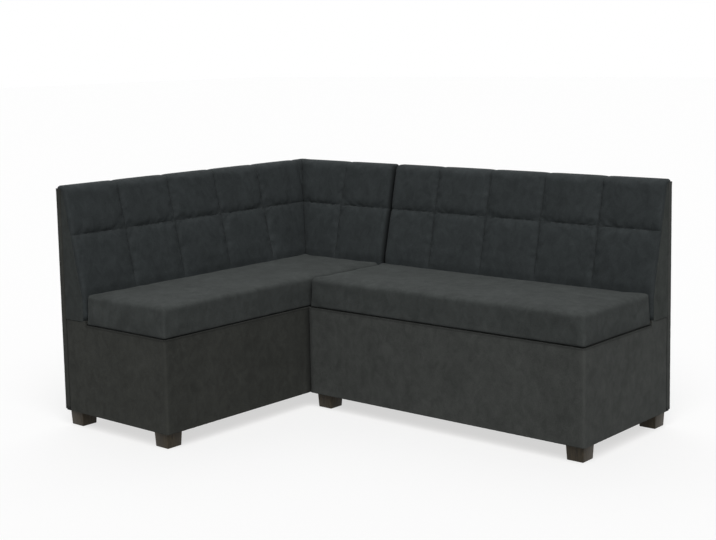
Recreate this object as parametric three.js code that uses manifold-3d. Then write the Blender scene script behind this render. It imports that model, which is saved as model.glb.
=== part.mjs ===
// A corner storage bench: two upholstered chests that stand in an L, each with a lift-up padded lid,
// and reclined backs with tufted pads along both walls. Millimetres, +Z up.
// The pieces are laid out from the room corner: x = 0 and y = 0 are the two wall planes,
// the short wing runs along -Y and the long wing along +X. The whole is then moved so that
// the origin lies on the floor under the middle of its outline.
import * as THREE from "three";
import { mergeVertices } from "three/addons/utils/BufferGeometryUtils.js";
import Module from "manifold-3d";

const wasm = await Module();
wasm.setup();

// Overall sizes.
const OVERALL_HEIGHT = 850;
const SHORT_SIDE = 1250;
const LONG_SIDE = 1700;
const SHORT_DEPTH = 540;
const LONG_DEPTH = 560;
const JOIN_GAP = 0.6;
const FIT = 0.3;
const OVERRUN = 5;

// Chests.
const FOOT_HEIGHT = 55;
const CHEST_TOP = 372;
const COVER = 3;
const COVER_CORNER = 7;
const PANEL = 16;
const FLOOR_BOARD = 10;
const LEDGE_BOARD = 16;

// Feet: square blocks that taper downwards.
const FOOT_TOP_SIDE = 66;
const FOOT_BOTTOM_SIDE = 60;
const FOOT_FRONT_INSET = 21;
const FOOT_END_INSET = 16;
const FOOT_WALL_INSET = 5;
const FOOT_JOIN_INSET = 18;

// Lids and seat cushions.
const LID_BOARD = 12;
const LID_BOARD_INSET = 8;
const SEAT_LINE = 376;
const SEAT_TOP = 478;
const SEAT_CROWN = 8;
const SEAT_END_INSET = 3;
const SEAT_FRONT_INSET = 3.5;
const SEAT_JOIN_INSET = 4;
const SEAT_BACK_GAP = 3;
const SEAT_TOP_ROUND = 26;
const SEAT_BOTTOM_ROUND = 9;
const SEAT_CORNER = 16;
const SEAT_LOW_DRAW = 3;
const SEAT_SIDE_DRAW = 2.5;

// Backs: upright behind, reclined in front above the seats.
const BACK_LOW_DEPTH = 131;
const BACK_TOP_DEPTH = 42;
const RECLINE_START = 466;
const PAD = 24;
const PAD_CAP = 12;
const BACK_FRONT_ROUND = 16;
const BACK_REAR_ROUND = 8;
const REAR_PANEL = 3;
const LOWER_RAIL = 16;
const FRONT_PANEL = 5;
const RIB = 16;
const TUFT_PITCH = 235;
const TUFT_SEAM_HEIGHT = 684;
const TUFT_BULGE = 9;
const CORNER_TUFT_END = 70;
const RETURN_START = 30;
const TUFT_STEPS = 6;
const ROUND_STEPS = 3;

// Lid hinges: cranked leaves whose pin lies in the crease between seat and back.
const HINGE_FROM_END = 200;
const HINGE_WIDTH = 40;
const HINGE_LEAF = 2.5;
const HINGE_BARREL = 5;
const HINGE_PIN = 2.2;
const HINGE_PIN_HEAD = 3.6;
const HINGE_PIN_HEAD_HEIGHT = 1.2;
const HINGE_KNUCKLE_GAP = 0.5;
const HINGE_MID_KNUCKLE = 15;
const HINGE_WALL_GAP = 0.6;
const HINGE_STRAP_LENGTH = 62;
const HINGE_FOOT_LENGTH = 50;
const HINGE_POCKET_GAP = 3;
const HINGE_SCREW = 2.2;
const HINGE_SCREW_FROM_EDGE = 10;
const HINGE_POCKET_RISE = 6;
const ROUND_SIDES = 20;

// Bolts that join the two chests.
const BOLT = 4;
const BOLT_HEAD = 8;
const BOLT_HEAD_HEIGHT = 4;
const BOLT_CLEARANCE = 0.5;
const BOLT_HEIGHT = 240;
const BOLT_FROM_EDGE = 70;
const BOLT_SIDES = 16;

// Sizes that follow.
const BASE_BOTTOM = FOOT_HEIGHT;
const LEDGE_TOP = CHEST_TOP + FIT + LEDGE_BOARD;
const SEAT_REAR = BACK_LOW_DEPTH + SEAT_BACK_GAP;
const HINGE_AXIS_DEPTH = BACK_LOW_DEPTH + HINGE_WALL_GAP + HINGE_BARREL;
const HINGE_AXIS_HEIGHT = RECLINE_START;
const LID_BOARD_BOTTOM = CHEST_TOP + FIT;
const LID_BOARD_TOP = LID_BOARD_BOTTOM + LID_BOARD;
const FRAME_LOW_DEPTH = BACK_LOW_DEPTH - PAD;
const FRAME_TOP = OVERALL_HEIGHT - PAD_CAP;
const RECLINE = (BACK_LOW_DEPTH - BACK_TOP_DEPTH) / (OVERALL_HEIGHT - RECLINE_START);
const SKIN = COVER + FIT;
const LID_BOARD_REAR = HINGE_AXIS_DEPTH + HINGE_BARREL + FIT + FIT;

// Materials.
const fabricSeat = new THREE.MeshStandardMaterial({ color: 0x3a3d3c, roughness: 0.95, metalness: 0 });
const fabricBack = new THREE.MeshStandardMaterial({ color: 0x2c3032, roughness: 0.95, metalness: 0 });
const fabricBase = new THREE.MeshStandardMaterial({ color: 0x323231, roughness: 0.95, metalness: 0 });
const darkWood = new THREE.MeshStandardMaterial({ color: 0x2b211a, roughness: 0.5, metalness: 0 });
const chipboard = new THREE.MeshStandardMaterial({ color: 0xb99f77, roughness: 0.8, metalness: 0 });
const plywood = new THREE.MeshStandardMaterial({ color: 0xc8ab7c, roughness: 0.75, metalness: 0 });
const hardboard = new THREE.MeshStandardMaterial({ color: 0x6d4f35, roughness: 0.8, metalness: 0 });
const steel = new THREE.MeshStandardMaterial({ color: 0xb4b6b8, roughness: 0.35, metalness: 1 });

// A geometry as a solid that can be cut and joined, and back.
function solidOf(geometry) {
  const bare = geometry.index ? geometry.toNonIndexed() : geometry.clone();
  bare.deleteAttribute("normal");
  bare.deleteAttribute("uv");
  const merged = mergeVertices(bare);
  return new wasm.Manifold(
    new wasm.Mesh({
      numProp: 3,
      vertProperties: new Float32Array(merged.attributes.position.array),
      triVerts: new Uint32Array(merged.index.array),
    }),
  );
}

function geometryOf(solid) {
  const mesh = solid.getMesh();
  const geometry = new THREE.BufferGeometry();
  geometry.setAttribute("position", new THREE.BufferAttribute(mesh.vertProperties, 3));
  geometry.setIndex(new THREE.BufferAttribute(mesh.triVerts, 1));
  const flat = geometry.toNonIndexed();
  flat.computeVertexNormals();
  return flat;
}

// A box between two depths behind the front (y runs backwards from the rear plane, so depth = -y).
function box(x0, x1, depth0, depth1, z0, z1) {
  const geometry = new THREE.BoxGeometry(x1 - x0, depth1 - depth0, z1 - z0);
  geometry.translate((x0 + x1) / 2, -(depth0 + depth1) / 2, (z0 + z1) / 2);
  return geometry;
}

// A profile of [depth, z] points, drawn along x from x0 to x1.
function prism(profile, x0, x1) {
  const shape = new THREE.Shape(profile.map(([depth, z]) => new THREE.Vector2(-depth, z)));
  const geometry = new THREE.ExtrudeGeometry(shape, { depth: x1 - x0, bevelEnabled: false });
  const along = new THREE.Matrix4().makeBasis(
    new THREE.Vector3(0, 1, 0),
    new THREE.Vector3(0, 0, 1),
    new THREE.Vector3(1, 0, 0),
  );
  geometry.applyMatrix4(along);
  geometry.translate(x0, 0, 0);
  return geometry;
}

function rod(radius, x0, x1, depth, z, sides) {
  const geometry = new THREE.CylinderGeometry(radius, radius, x1 - x0, sides);
  geometry.rotateZ(Math.PI / 2);
  geometry.translate((x0 + x1) / 2, -depth, z);
  return geometry;
}

function upright(radius, x, depth, z0, z1, sides) {
  const geometry = new THREE.CylinderGeometry(radius, radius, z1 - z0, sides);
  geometry.rotateX(Math.PI / 2);
  geometry.translate(x, -depth, (z0 + z1) / 2);
  return geometry;
}

function crossways(radius, x, depth0, depth1, z, sides) {
  const geometry = new THREE.CylinderGeometry(radius, radius, depth1 - depth0, sides);
  geometry.translate(x, -(depth0 + depth1) / 2, z);
  return geometry;
}

function joined(...geometries) {
  return geometries.map(solidOf).reduce((sum, next) => sum.add(next));
}

function piece(group, name, geometry, material) {
  const mesh = new THREE.Mesh(geometry, material);
  mesh.name = name;
  group.add(mesh);
  return mesh;
}

// The depth of the reclined front at a height, for a face that starts at lowDepth above the seat line.
function frontDepth(lowDepth, z) {
  return lowDepth - Math.max(0, z - RECLINE_START) * RECLINE;
}

// One foot: a square block, wider at the top.
function foot(group, name, x, depth) {
  const height = FOOT_HEIGHT - FIT;
  const toCorner = Math.SQRT1_2;
  const topRadius = FOOT_TOP_SIDE * toCorner;
  const bottomRadius = FOOT_BOTTOM_SIDE * toCorner;
  const geometry = new THREE.CylinderGeometry(topRadius, bottomRadius, height, 4);
  geometry.rotateY(Math.PI / 4);
  geometry.rotateX(Math.PI / 2);
  geometry.translate(x, -depth, height / 2);
  piece(group, name, geometry, darkWood);
}

// The fabric round a chest: a thin ring with rounded corners that rises round the ledge boards.
function chestCover(from, to, depth, mouthFrom, mouthTo) {
  const ring = (inset, corner) => {
    const outline = new THREE.Shape();
    const x0 = from + inset;
    const x1 = to - inset;
    const y0 = -depth + inset;
    const y1 = -inset;
    outline.moveTo(x0 + corner, y0);
    outline.lineTo(x1 - corner, y0);
    outline.absarc(x1 - corner, y0 + corner, corner, -Math.PI / 2, 0);
    outline.lineTo(x1, y1 - corner);
    outline.absarc(x1 - corner, y1 - corner, corner, 0, Math.PI / 2);
    outline.lineTo(x0 + corner, y1);
    outline.absarc(x0 + corner, y1 - corner, corner, Math.PI / 2, Math.PI);
    outline.lineTo(x0, y0 + corner);
    outline.absarc(x0 + corner, y0 + corner, corner, Math.PI, Math.PI * 1.5);
    return outline;
  };
  const outer = ring(0, COVER_CORNER);
  outer.holes.push(ring(COVER, FIT));
  const wall = new THREE.ExtrudeGeometry(outer, {
    depth: LEDGE_TOP - BASE_BOTTOM,
    bevelEnabled: false,
    curveSegments: ROUND_STEPS,
  });
  wall.translate(0, 0, BASE_BOTTOM);
  const mouth = box(mouthFrom, mouthTo, BACK_LOW_DEPTH, depth + OVERRUN, CHEST_TOP, LEDGE_TOP + OVERRUN);
  return solidOf(wall).subtract(solidOf(mouth));
}

// Four panels and a floor that make an open-topped chest.
function chestPanels(from, to, depth) {
  const outer = SKIN + PANEL;
  const inner = outer + FIT;
  const floorTop = BASE_BOTTOM + FLOOR_BOARD;
  return {
    front_panel: box(from + SKIN, to - SKIN, depth - outer, depth - SKIN, BASE_BOTTOM, CHEST_TOP),
    rear_panel: box(from + SKIN, to - SKIN, SKIN, outer, BASE_BOTTOM, CHEST_TOP),
    left_end_panel: box(from + SKIN, from + outer, inner, depth - inner, BASE_BOTTOM, CHEST_TOP),
    right_end_panel: box(to - outer, to - SKIN, inner, depth - inner, BASE_BOTTOM, CHEST_TOP),
    storage_floor: box(from + inner, to - inner, inner, depth - inner, BASE_BOTTOM, floorTop),
  };
}

// The closed loop of [x, y] points round a cushion, drawn in between its corners.
function cushionLoop(x0, x1, y0, y1, inset, draw) {
  const left = x0 + inset;
  const right = x1 - inset;
  const low = y0 + inset;
  const high = y1 - inset;
  const room = Math.min(right - left, high - low) / 2;
  const corner = Math.min(SEAT_CORNER, room / 2);
  const points = [];
  const corners = [
    [right - corner, low + corner, -Math.PI / 2],
    [right - corner, high - corner, 0],
    [left + corner, high - corner, Math.PI / 2],
    [left + corner, low + corner, Math.PI],
  ];
  corners.forEach(([cx, cy, start], i) => {
    for (let k = 0; k <= ROUND_STEPS; k++) {
      const angle = start + (k / ROUND_STEPS) * (Math.PI / 2);
      points.push([cx + corner * Math.cos(angle), cy + corner * Math.sin(angle)]);
    }
    const [nx, ny] = corners[(i + 1) % corners.length];
    const end = start + Math.PI / 2;
    const from = [cx + corner * Math.cos(end), cy + corner * Math.sin(end)];
    const to = [nx + corner * Math.cos(end), ny + corner * Math.sin(end)];
    for (let k = 1; k < TUFT_STEPS; k++) {
      const t = k / TUFT_STEPS;
      const pull = draw * (1 - (2 * t - 1) ** 2);
      points.push([
        from[0] + (to[0] - from[0]) * t - pull * Math.cos(end),
        from[1] + (to[1] - from[1]) * t - pull * Math.sin(end),
      ]);
    }
  });
  return points;
}

// A seat cushion: rounded under its edge, drawn in low down, a broad round above and a crowned top.
function cushion(x0, x1, y0, y1) {
  const half = Math.min(x1 - x0, y1 - y0) / 2;
  const roundStart = SEAT_TOP - SEAT_TOP_ROUND;
  const belly = (SEAT_LINE + roundStart) / 2;
  const rings = [
    [SEAT_LOW_DRAW + SEAT_BOTTOM_ROUND, SEAT_LINE, 0],
    [SEAT_LOW_DRAW + SEAT_BOTTOM_ROUND / 4, SEAT_LINE + SEAT_BOTTOM_ROUND / 4, 0],
    [SEAT_LOW_DRAW, SEAT_LINE + SEAT_BOTTOM_ROUND, SEAT_SIDE_DRAW],
    [0, belly, SEAT_SIDE_DRAW],
    [0, roundStart, SEAT_SIDE_DRAW],
  ];
  for (let k = 1; k <= ROUND_STEPS + 1; k++) {
    const angle = (k / (ROUND_STEPS + 1)) * (Math.PI / 2);
    const inset = SEAT_TOP_ROUND * (1 - Math.cos(angle));
    const crown = SEAT_CROWN * (1 - (1 - inset / half) ** 2);
    rings.push([inset, roundStart + SEAT_TOP_ROUND * Math.sin(angle) + crown, 0]);
  }
  const crownShares = [0.3, 0.5, 0.72, 0.94];
  crownShares.forEach((share) => {
    const inset = half * share;
    rings.push([inset, SEAT_TOP + SEAT_CROWN * (1 - (1 - share) ** 2), 0]);
  });
  const positions = [];
  const indices = [];
  let count = 0;
  rings.forEach(([inset, z, draw]) => {
    const loop = cushionLoop(x0, x1, y0, y1, inset, draw);
    count = loop.length;
    loop.forEach(([x, y]) => positions.push(x, y, z));
  });
  for (let r = 0; r + 1 < rings.length; r++) {
    for (let i = 0; i < count; i++) {
      const a = r * count + i;
      const b = r * count + ((i + 1) % count);
      indices.push(a, b, b + count, a, b + count, a + count);
    }
  }
  const bottomCentre = positions.length / 3;
  positions.push((x0 + x1) / 2, (y0 + y1) / 2, SEAT_LINE);
  const topCentre = bottomCentre + 1;
  positions.push((x0 + x1) / 2, (y0 + y1) / 2, SEAT_TOP + SEAT_CROWN);
  const last = (rings.length - 1) * count;
  for (let i = 0; i < count; i++) {
    const next = (i + 1) % count;
    indices.push(bottomCentre, next, i);
    indices.push(topCentre, last + i, last + next);
  }
  const geometry = new THREE.BufferGeometry();
  geometry.setAttribute("position", new THREE.Float32BufferAttribute(positions, 3));
  geometry.setIndex(indices);
  return geometry;
}

// One lid: a board under a cushion that wraps its edges, with pockets for the hinges.
function lid(group, name, x0, x1, front, hingePlaces) {
  const board = box(
    x0 + LID_BOARD_INSET,
    x1 - LID_BOARD_INSET,
    LID_BOARD_REAR,
    front - LID_BOARD_INSET,
    LID_BOARD_BOTTOM,
    LID_BOARD_TOP,
  );
  piece(group, name + "_lid_board", board, plywood);
  let form = solidOf(cushion(x0, x1, -front, -SEAT_REAR));
  const recess = box(
    x0 + LID_BOARD_INSET - FIT,
    x1 - LID_BOARD_INSET + FIT,
    LID_BOARD_REAR - FIT,
    front - LID_BOARD_INSET + FIT,
    LID_BOARD_BOTTOM - OVERRUN,
    LID_BOARD_TOP + FIT,
  );
  form = form.subtract(solidOf(recess));
  hingePlaces.forEach((x) => {
    const half = HINGE_WIDTH / 2 + HINGE_POCKET_GAP;
    const pocket = box(
      x - half,
      x + half,
      BACK_LOW_DEPTH - OVERRUN,
      LID_BOARD_REAR,
      LID_BOARD_BOTTOM - OVERRUN,
      HINGE_AXIS_HEIGHT + HINGE_POCKET_RISE,
    );
    form = form.subtract(solidOf(pocket));
  });
  piece(group, name + "_seat_cushion", geometryOf(form), fabricSeat);
}

// One hinge: a leaf on the back, a cranked leaf under the lid board, and the pin through both.
function hinge(group, name, x) {
  const z = HINGE_AXIS_HEIGHT;
  const depth = HINGE_AXIS_DEPTH;
  const half = HINGE_WIDTH / 2;
  const mid = HINGE_MID_KNUCKLE / 2;
  const side = mid + HINGE_KNUCKLE_GAP;
  const strapTop = z - HINGE_BARREL - HINGE_WALL_GAP;
  const wall = BACK_LOW_DEPTH + FIT;
  const hole = solidOf(rod(HINGE_PIN + FIT, x - half - OVERRUN, x + half + OVERRUN, depth, z, ROUND_SIDES));
  const strapBottom = strapTop - HINGE_STRAP_LENGTH;
  const screwRows = [strapTop - HINGE_SCREW_FROM_EDGE, strapBottom + HINGE_SCREW_FROM_EDGE];
  let fixed = solidOf(box(x - half, x + half, wall, wall + HINGE_LEAF, strapBottom, strapTop));
  [-1, 1].forEach((way) => {
    const outer = x + way * half;
    const inner = x + way * side;
    const low = Math.min(outer, inner);
    const high = Math.max(outer, inner);
    fixed = fixed.add(
      joined(
        rod(HINGE_BARREL, low, high, depth, z, ROUND_SIDES),
        box(low, high, wall + FIT, wall + HINGE_LEAF + FIT, strapTop - HINGE_LEAF, z),
      ),
    );
    screwRows.forEach((row) => {
      const screwX = x + way * (half - HINGE_SCREW_FROM_EDGE);
      const cut = crossways(HINGE_SCREW, screwX, wall - OVERRUN, depth, row, BOLT_SIDES);
      fixed = fixed.subtract(solidOf(cut));
    });
  });
  piece(group, name + "_fixed_leaf", geometryOf(fixed.subtract(hole)), steel);

  const strapRear = depth + HINGE_BARREL - HINGE_LEAF;
  const strapFront = depth + HINGE_BARREL;
  const footTop = LID_BOARD_BOTTOM - FIT;
  let moving = joined(
    rod(HINGE_BARREL, x - mid, x + mid, depth, z, ROUND_SIDES),
    box(x - mid, x + mid, strapRear, strapFront, strapTop - HINGE_LEAF, z),
    box(x - half, x + half, strapRear, strapFront, footTop - HINGE_LEAF, strapTop - HINGE_LEAF / 2),
    box(x - half, x + half, strapRear, strapFront + HINGE_FOOT_LENGTH, footTop - HINGE_LEAF, footTop),
  );
  [-1, 1].forEach((way) => {
    const screwX = x + way * (half - HINGE_SCREW_FROM_EDGE);
    const screwDepth = strapFront + HINGE_FOOT_LENGTH - HINGE_SCREW_FROM_EDGE;
    const low = footTop - HINGE_LEAF - OVERRUN;
    const cut = upright(HINGE_SCREW, screwX, screwDepth, low, footTop + OVERRUN, BOLT_SIDES);
    moving = moving.subtract(solidOf(cut));
  });
  piece(group, name + "_lid_leaf", geometryOf(moving.subtract(hole)), steel);

  const pinEnd = half + FIT;
  const pin = joined(
    rod(HINGE_PIN, x - pinEnd - FIT, x + pinEnd + FIT, depth, z, ROUND_SIDES),
    rod(HINGE_PIN_HEAD, x - pinEnd - HINGE_PIN_HEAD_HEIGHT, x - pinEnd, depth, z, ROUND_SIDES),
    rod(HINGE_PIN_HEAD, x + pinEnd, x + pinEnd + HINGE_PIN_HEAD_HEIGHT, depth, z, ROUND_SIDES),
  );
  piece(group, name + "_pin", geometryOf(pin), steel);
}

// How full a tuft is at a share of its way across, 0 at its seams and 1 in the middle.
function fullness(share) {
  return Math.sin(Math.PI * share) ** 0.8;
}

// The lower row starts flat at the crease so that the lids clear it.
function rowFullness(share, row) {
  return row === 0 && share < 1 / 2 ? Math.sin(Math.PI * share) ** 2 : fullness(share);
}

// The loop of [depth, z] points round a back at one place along it. grow pushes the front out.
function backLoop(across, grow, solidBehind) {
  const rowEdges = [RECLINE_START, TUFT_SEAM_HEIGHT, OVERALL_HEIGHT - BACK_FRONT_ROUND];
  const bottom = LEDGE_TOP + FIT;
  const loop = [[BACK_LOW_DEPTH + grow, solidBehind ? bottom - OVERRUN : bottom]];
  rowEdges.slice(0, -1).forEach((edge, row) => {
    for (let k = 0; k < TUFT_STEPS; k++) {
      const share = k / TUFT_STEPS;
      const z = edge + (rowEdges[row + 1] - edge) * share;
      const bulge = TUFT_BULGE * across * rowFullness(share, row);
      loop.push([frontDepth(BACK_LOW_DEPTH, z) + bulge + grow, z]);
    }
  });
  const roundStart = OVERALL_HEIGHT - BACK_FRONT_ROUND;
  const frontAtRound = frontDepth(BACK_LOW_DEPTH, roundStart);
  for (let k = 0; k <= ROUND_STEPS; k++) {
    const angle = (k / ROUND_STEPS) * (Math.PI / 2);
    loop.push([
      frontAtRound - BACK_FRONT_ROUND * (1 - Math.cos(angle)) + grow,
      roundStart + BACK_FRONT_ROUND * Math.sin(angle) + grow,
    ]);
  }
  for (let k = 0; k <= ROUND_STEPS; k++) {
    const angle = (k / ROUND_STEPS) * (Math.PI / 2);
    loop.push([
      BACK_REAR_ROUND * (1 - Math.sin(angle)),
      OVERALL_HEIGHT - BACK_REAR_ROUND * (1 - Math.cos(angle)) + grow,
    ]);
  }
  if (solidBehind) {
    loop.push([-OVERRUN, OVERALL_HEIGHT - BACK_REAR_ROUND], [-OVERRUN, bottom - OVERRUN]);
  } else {
    const inner = FRAME_LOW_DEPTH + FIT;
    loop.push(
      [0, FRAME_TOP + FIT],
      [frontDepth(inner, FRAME_TOP + FIT), FRAME_TOP + FIT],
      [inner, RECLINE_START],
      [inner, bottom],
    );
  }
  return loop;
}

// A tufted back pad along x, sewn down at each place in seams. The first and last are its ends.
function backPad(seams, grow, solidBehind) {
  const stations = [];
  seams.slice(0, -1).forEach((start, cell) => {
    const end = seams[cell + 1];
    const steps = end - start > TUFT_PITCH / 2 ? TUFT_STEPS : 1;
    for (let k = 0; k < steps; k++) {
      const share = k / steps;
      stations.push([start + (end - start) * share, fullness(share)]);
    }
  });
  stations.push([seams[seams.length - 1], 0]);
  const positions = [];
  const indices = [];
  let loop = [];
  stations.forEach(([x, across]) => {
    loop = backLoop(across, grow, solidBehind);
    loop.forEach(([depth, z]) => positions.push(x, -depth, z));
  });
  const count = loop.length;
  for (let s = 0; s + 1 < stations.length; s++) {
    for (let i = 0; i < count; i++) {
      const a = s * count + i;
      const b = s * count + ((i + 1) % count);
      indices.push(a, a + count, b + count, a, b + count, b);
    }
  }
  const outline = loop.map(([depth, z]) => new THREE.Vector2(-depth, z));
  const caps = THREE.ShapeUtils.triangulateShape(outline, []);
  const last = (stations.length - 1) * count;
  caps.forEach(([a, b, c]) => {
    indices.push(a, c, b);
    indices.push(last + a, last + b, last + c);
  });
  const geometry = new THREE.BufferGeometry();
  geometry.setAttribute("position", new THREE.Float32BufferAttribute(positions, 3));
  geometry.setIndex(indices);
  return geometry;
}

// The frame and pad of one back between two places along x. cutter, if any, is what it butts against.
function back(group, name, from, to, seams, ribs, cutter) {
  const bottom = LEDGE_TOP + FIT;
  const shaped = (geometry) => (cutter ? geometryOf(solidOf(geometry).subtract(cutter)) : geometry);
  const rearPanel = box(from, to, 0, REAR_PANEL, bottom, FRAME_TOP);
  piece(group, name + "_rear_panel", shaped(rearPanel), hardboard);

  const railFront = FRAME_LOW_DEPTH;
  const railRear = FRAME_LOW_DEPTH - LOWER_RAIL;
  const rail = box(from, to, railRear, railFront, bottom, RECLINE_START - FIT);
  piece(group, name + "_lower_rail", shaped(rail), plywood);

  const panelRear = FRAME_LOW_DEPTH - FRONT_PANEL;
  const panel = prism(
    [
      [panelRear, RECLINE_START],
      [FRAME_LOW_DEPTH, RECLINE_START],
      [frontDepth(FRAME_LOW_DEPTH, FRAME_TOP), FRAME_TOP],
      [frontDepth(panelRear, FRAME_TOP), FRAME_TOP],
    ],
    from,
    to,
  );
  piece(group, name + "_front_panel", shaped(panel), hardboard);

  const ribBehind = REAR_PANEL + FIT;
  const ribProfile = [
    [ribBehind, bottom],
    [railRear - FIT, bottom],
    [railRear - FIT, RECLINE_START],
    [panelRear - FIT, RECLINE_START],
    [frontDepth(panelRear - FIT, FRAME_TOP), FRAME_TOP],
    [ribBehind, FRAME_TOP],
  ];
  ribs.forEach((x, i) => {
    const rib = prism(ribProfile, x, x + RIB);
    piece(group, name + "_rib_" + (i + 1), rib, plywood);
  });

  const pad = backPad(seams, 0, false);
  piece(group, name + "_pad", shaped(pad), fabricBack);
}

// A bolt that joins the chests, with its cap nut, along x.
function joinBolt(group, name, x0, x1, depth) {
  const grip = joined(
    rod(BOLT, x0 - BOLT_HEAD_HEIGHT / 2, x1 + BOLT_HEAD_HEIGHT / 2, depth, BOLT_HEIGHT, BOLT_SIDES),
    rod(BOLT_HEAD, x0 - FIT - BOLT_HEAD_HEIGHT, x0 - FIT, depth, BOLT_HEIGHT, BOLT_SIDES),
    rod(BOLT_HEAD, x1 + FIT, x1 + FIT + BOLT_HEAD_HEIGHT, depth, BOLT_HEIGHT, BOLT_SIDES),
  );
  piece(group, name, geometryOf(grip), steel);
}

const bench = new THREE.Group();
bench.position.set(-LONG_SIDE / 2, SHORT_SIDE / 2, 0);

// The short wing is drawn like the long one, then turned so that its rear lies on the x = 0 wall.
const shortWing = new THREE.Group();
shortWing.rotation.z = Math.PI / 2;
const longWing = new THREE.Group();
bench.add(shortWing, longWing);

const longFrom = SHORT_DEPTH + JOIN_GAP;
const boltDepths = [BACK_LOW_DEPTH + BOLT_FROM_EDGE, LONG_DEPTH - BOLT_FROM_EDGE];
const boltHole = BOLT + BOLT_CLEARANCE;
const boltRun = SKIN + PANEL + OVERRUN;

// The bolts run along the room's x: along the long wing, and across the depth of the turned short wing.
const longBoltHoles = boltDepths.map((depth) =>
  rod(boltHole, longFrom - OVERRUN, longFrom + boltRun, depth, BOLT_HEIGHT, BOLT_SIDES),
);
const shortBoltHoles = boltDepths.map((depth) =>
  crossways(boltHole, -depth, SHORT_DEPTH - boltRun, SHORT_DEPTH + OVERRUN, BOLT_HEIGHT, BOLT_SIDES),
);

// One chest: its panels, the one that meets the other chest drilled for the bolts, and its cover.
function addChest(group, name, from, to, depth, mouth, holes, joinPanel) {
  const drilled = (solid) => geometryOf(holes.reduce((sum, hole) => sum.subtract(solidOf(hole)), solid));
  Object.entries(chestPanels(from, to, depth)).forEach(([part, geometry]) => {
    const made = part === joinPanel ? drilled(solidOf(geometry)) : geometry;
    piece(group, name + "_" + part, made, chipboard);
  });
  piece(group, name + "_base_cover", drilled(chestCover(from, to, depth, mouth[0], mouth[1])), fabricBase);
}

// Chests. The short one's ledge turns the corner, so its mouth stops at the return back.
const shortMouth = [-SHORT_SIDE - OVERRUN, -BACK_LOW_DEPTH];
const longMouth = [longFrom - OVERRUN, LONG_SIDE + OVERRUN];
addChest(shortWing, "short", -SHORT_SIDE, 0, SHORT_DEPTH, shortMouth, shortBoltHoles, "front_panel");
addChest(longWing, "long", longFrom, LONG_SIDE, LONG_DEPTH, longMouth, longBoltHoles, "left_end_panel");

// Ledge boards that carry the backs.
const ledge = (from, to) => box(from, to, SKIN, BACK_LOW_DEPTH, CHEST_TOP + FIT, LEDGE_TOP);
piece(shortWing, "short_ledge_board", ledge(-SHORT_SIDE + SKIN, -SKIN), chipboard);
piece(longWing, "return_ledge_board", ledge(BACK_LOW_DEPTH + FIT, SHORT_DEPTH - SKIN), chipboard);
piece(longWing, "long_ledge_board", ledge(longFrom + SKIN, LONG_SIDE - SKIN), chipboard);

// Feet, one under each corner of each chest.
function addFeet(group, name, from, to, depth, fromInset, toInset) {
  const half = FOOT_TOP_SIDE / 2;
  const places = {
    rear_left: [from + fromInset + half, FOOT_WALL_INSET + half],
    rear_right: [to - toInset - half, FOOT_WALL_INSET + half],
    front_left: [from + fromInset + half, depth - FOOT_FRONT_INSET - half],
    front_right: [to - toInset - half, depth - FOOT_FRONT_INSET - half],
  };
  Object.entries(places).forEach(([place, [x, at]]) => foot(group, name + "_foot_" + place, x, at));
}
addFeet(shortWing, "short", -SHORT_SIDE, 0, SHORT_DEPTH, FOOT_END_INSET, FOOT_WALL_INSET);
addFeet(longWing, "long", longFrom, LONG_SIDE, LONG_DEPTH, FOOT_JOIN_INSET, FOOT_END_INSET);

// Lids and their hinges.
function addLid(group, name, from, to, front) {
  const places = [from + HINGE_FROM_END, to - HINGE_FROM_END];
  lid(group, name, from, to, front, places);
  places.forEach((x, i) => hinge(group, name + "_hinge_" + (i + 1), x));
}
const shortFront = SHORT_DEPTH - SEAT_FRONT_INSET;
const longFront = LONG_DEPTH - SEAT_FRONT_INSET;
addLid(shortWing, "short", -SHORT_SIDE + SEAT_END_INSET, -SEAT_REAR, shortFront);
addLid(longWing, "long", longFrom + SEAT_JOIN_INSET, LONG_SIDE - SEAT_END_INSET, longFront);

// Backs. The tuft seams are counted off from each wing's free end.
const leftSeams = [-SHORT_SIDE];
for (let x = -SHORT_SIDE + TUFT_PITCH; x < -TUFT_PITCH; x += TUFT_PITCH) leftSeams.push(x);
leftSeams.push(-CORNER_TUFT_END, 0);
const rightSeams = [LONG_SIDE];
for (let x = LONG_SIDE - TUFT_PITCH; x > longFrom + TUFT_PITCH / 2; x -= TUFT_PITCH) rightSeams.unshift(x);
rightSeams.unshift(longFrom);
const returnSeam = rightSeams[1] - TUFT_PITCH - TUFT_PITCH;
const returnSeams = [RETURN_START, CORNER_TUFT_END, returnSeam, SHORT_DEPTH];

const midRib = (from, to) => (from + to - RIB) / 2;
const leftRibs = [-SHORT_SIDE, midRib(-SHORT_SIDE, 0), -RIB];
const rightRibs = [longFrom, midRib(longFrom, LONG_SIDE), LONG_SIDE - RIB];
back(shortWing, "left_back", -SHORT_SIDE, 0, leftSeams, leftRibs, null);
back(longWing, "right_back", longFrom, LONG_SIDE, rightSeams, rightRibs, null);

// The return back butts against the left back's reclined face, and the cut runs out past the rear wall.
const turned = new THREE.Matrix4().makeRotationZ(Math.PI / 2);
const cutSeams = [...leftSeams.slice(0, -1), OVERRUN];
const leftFace = solidOf(backPad(cutSeams, FIT, true).applyMatrix4(turned));
back(longWing, "return_back", RETURN_START, SHORT_DEPTH, returnSeams, [SHORT_DEPTH - RIB], leftFace);

// Bolts between the chests.
boltDepths.forEach((depth, i) => {
  joinBolt(longWing, "join_bolt_" + (i + 1), SHORT_DEPTH - SKIN - PANEL, longFrom + SKIN + PANEL, depth);
});

export default bench;
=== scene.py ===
import math
from itertools import product

import bmesh
import bpy
import numpy as np
from mathutils import Matrix, Vector, noise


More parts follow.
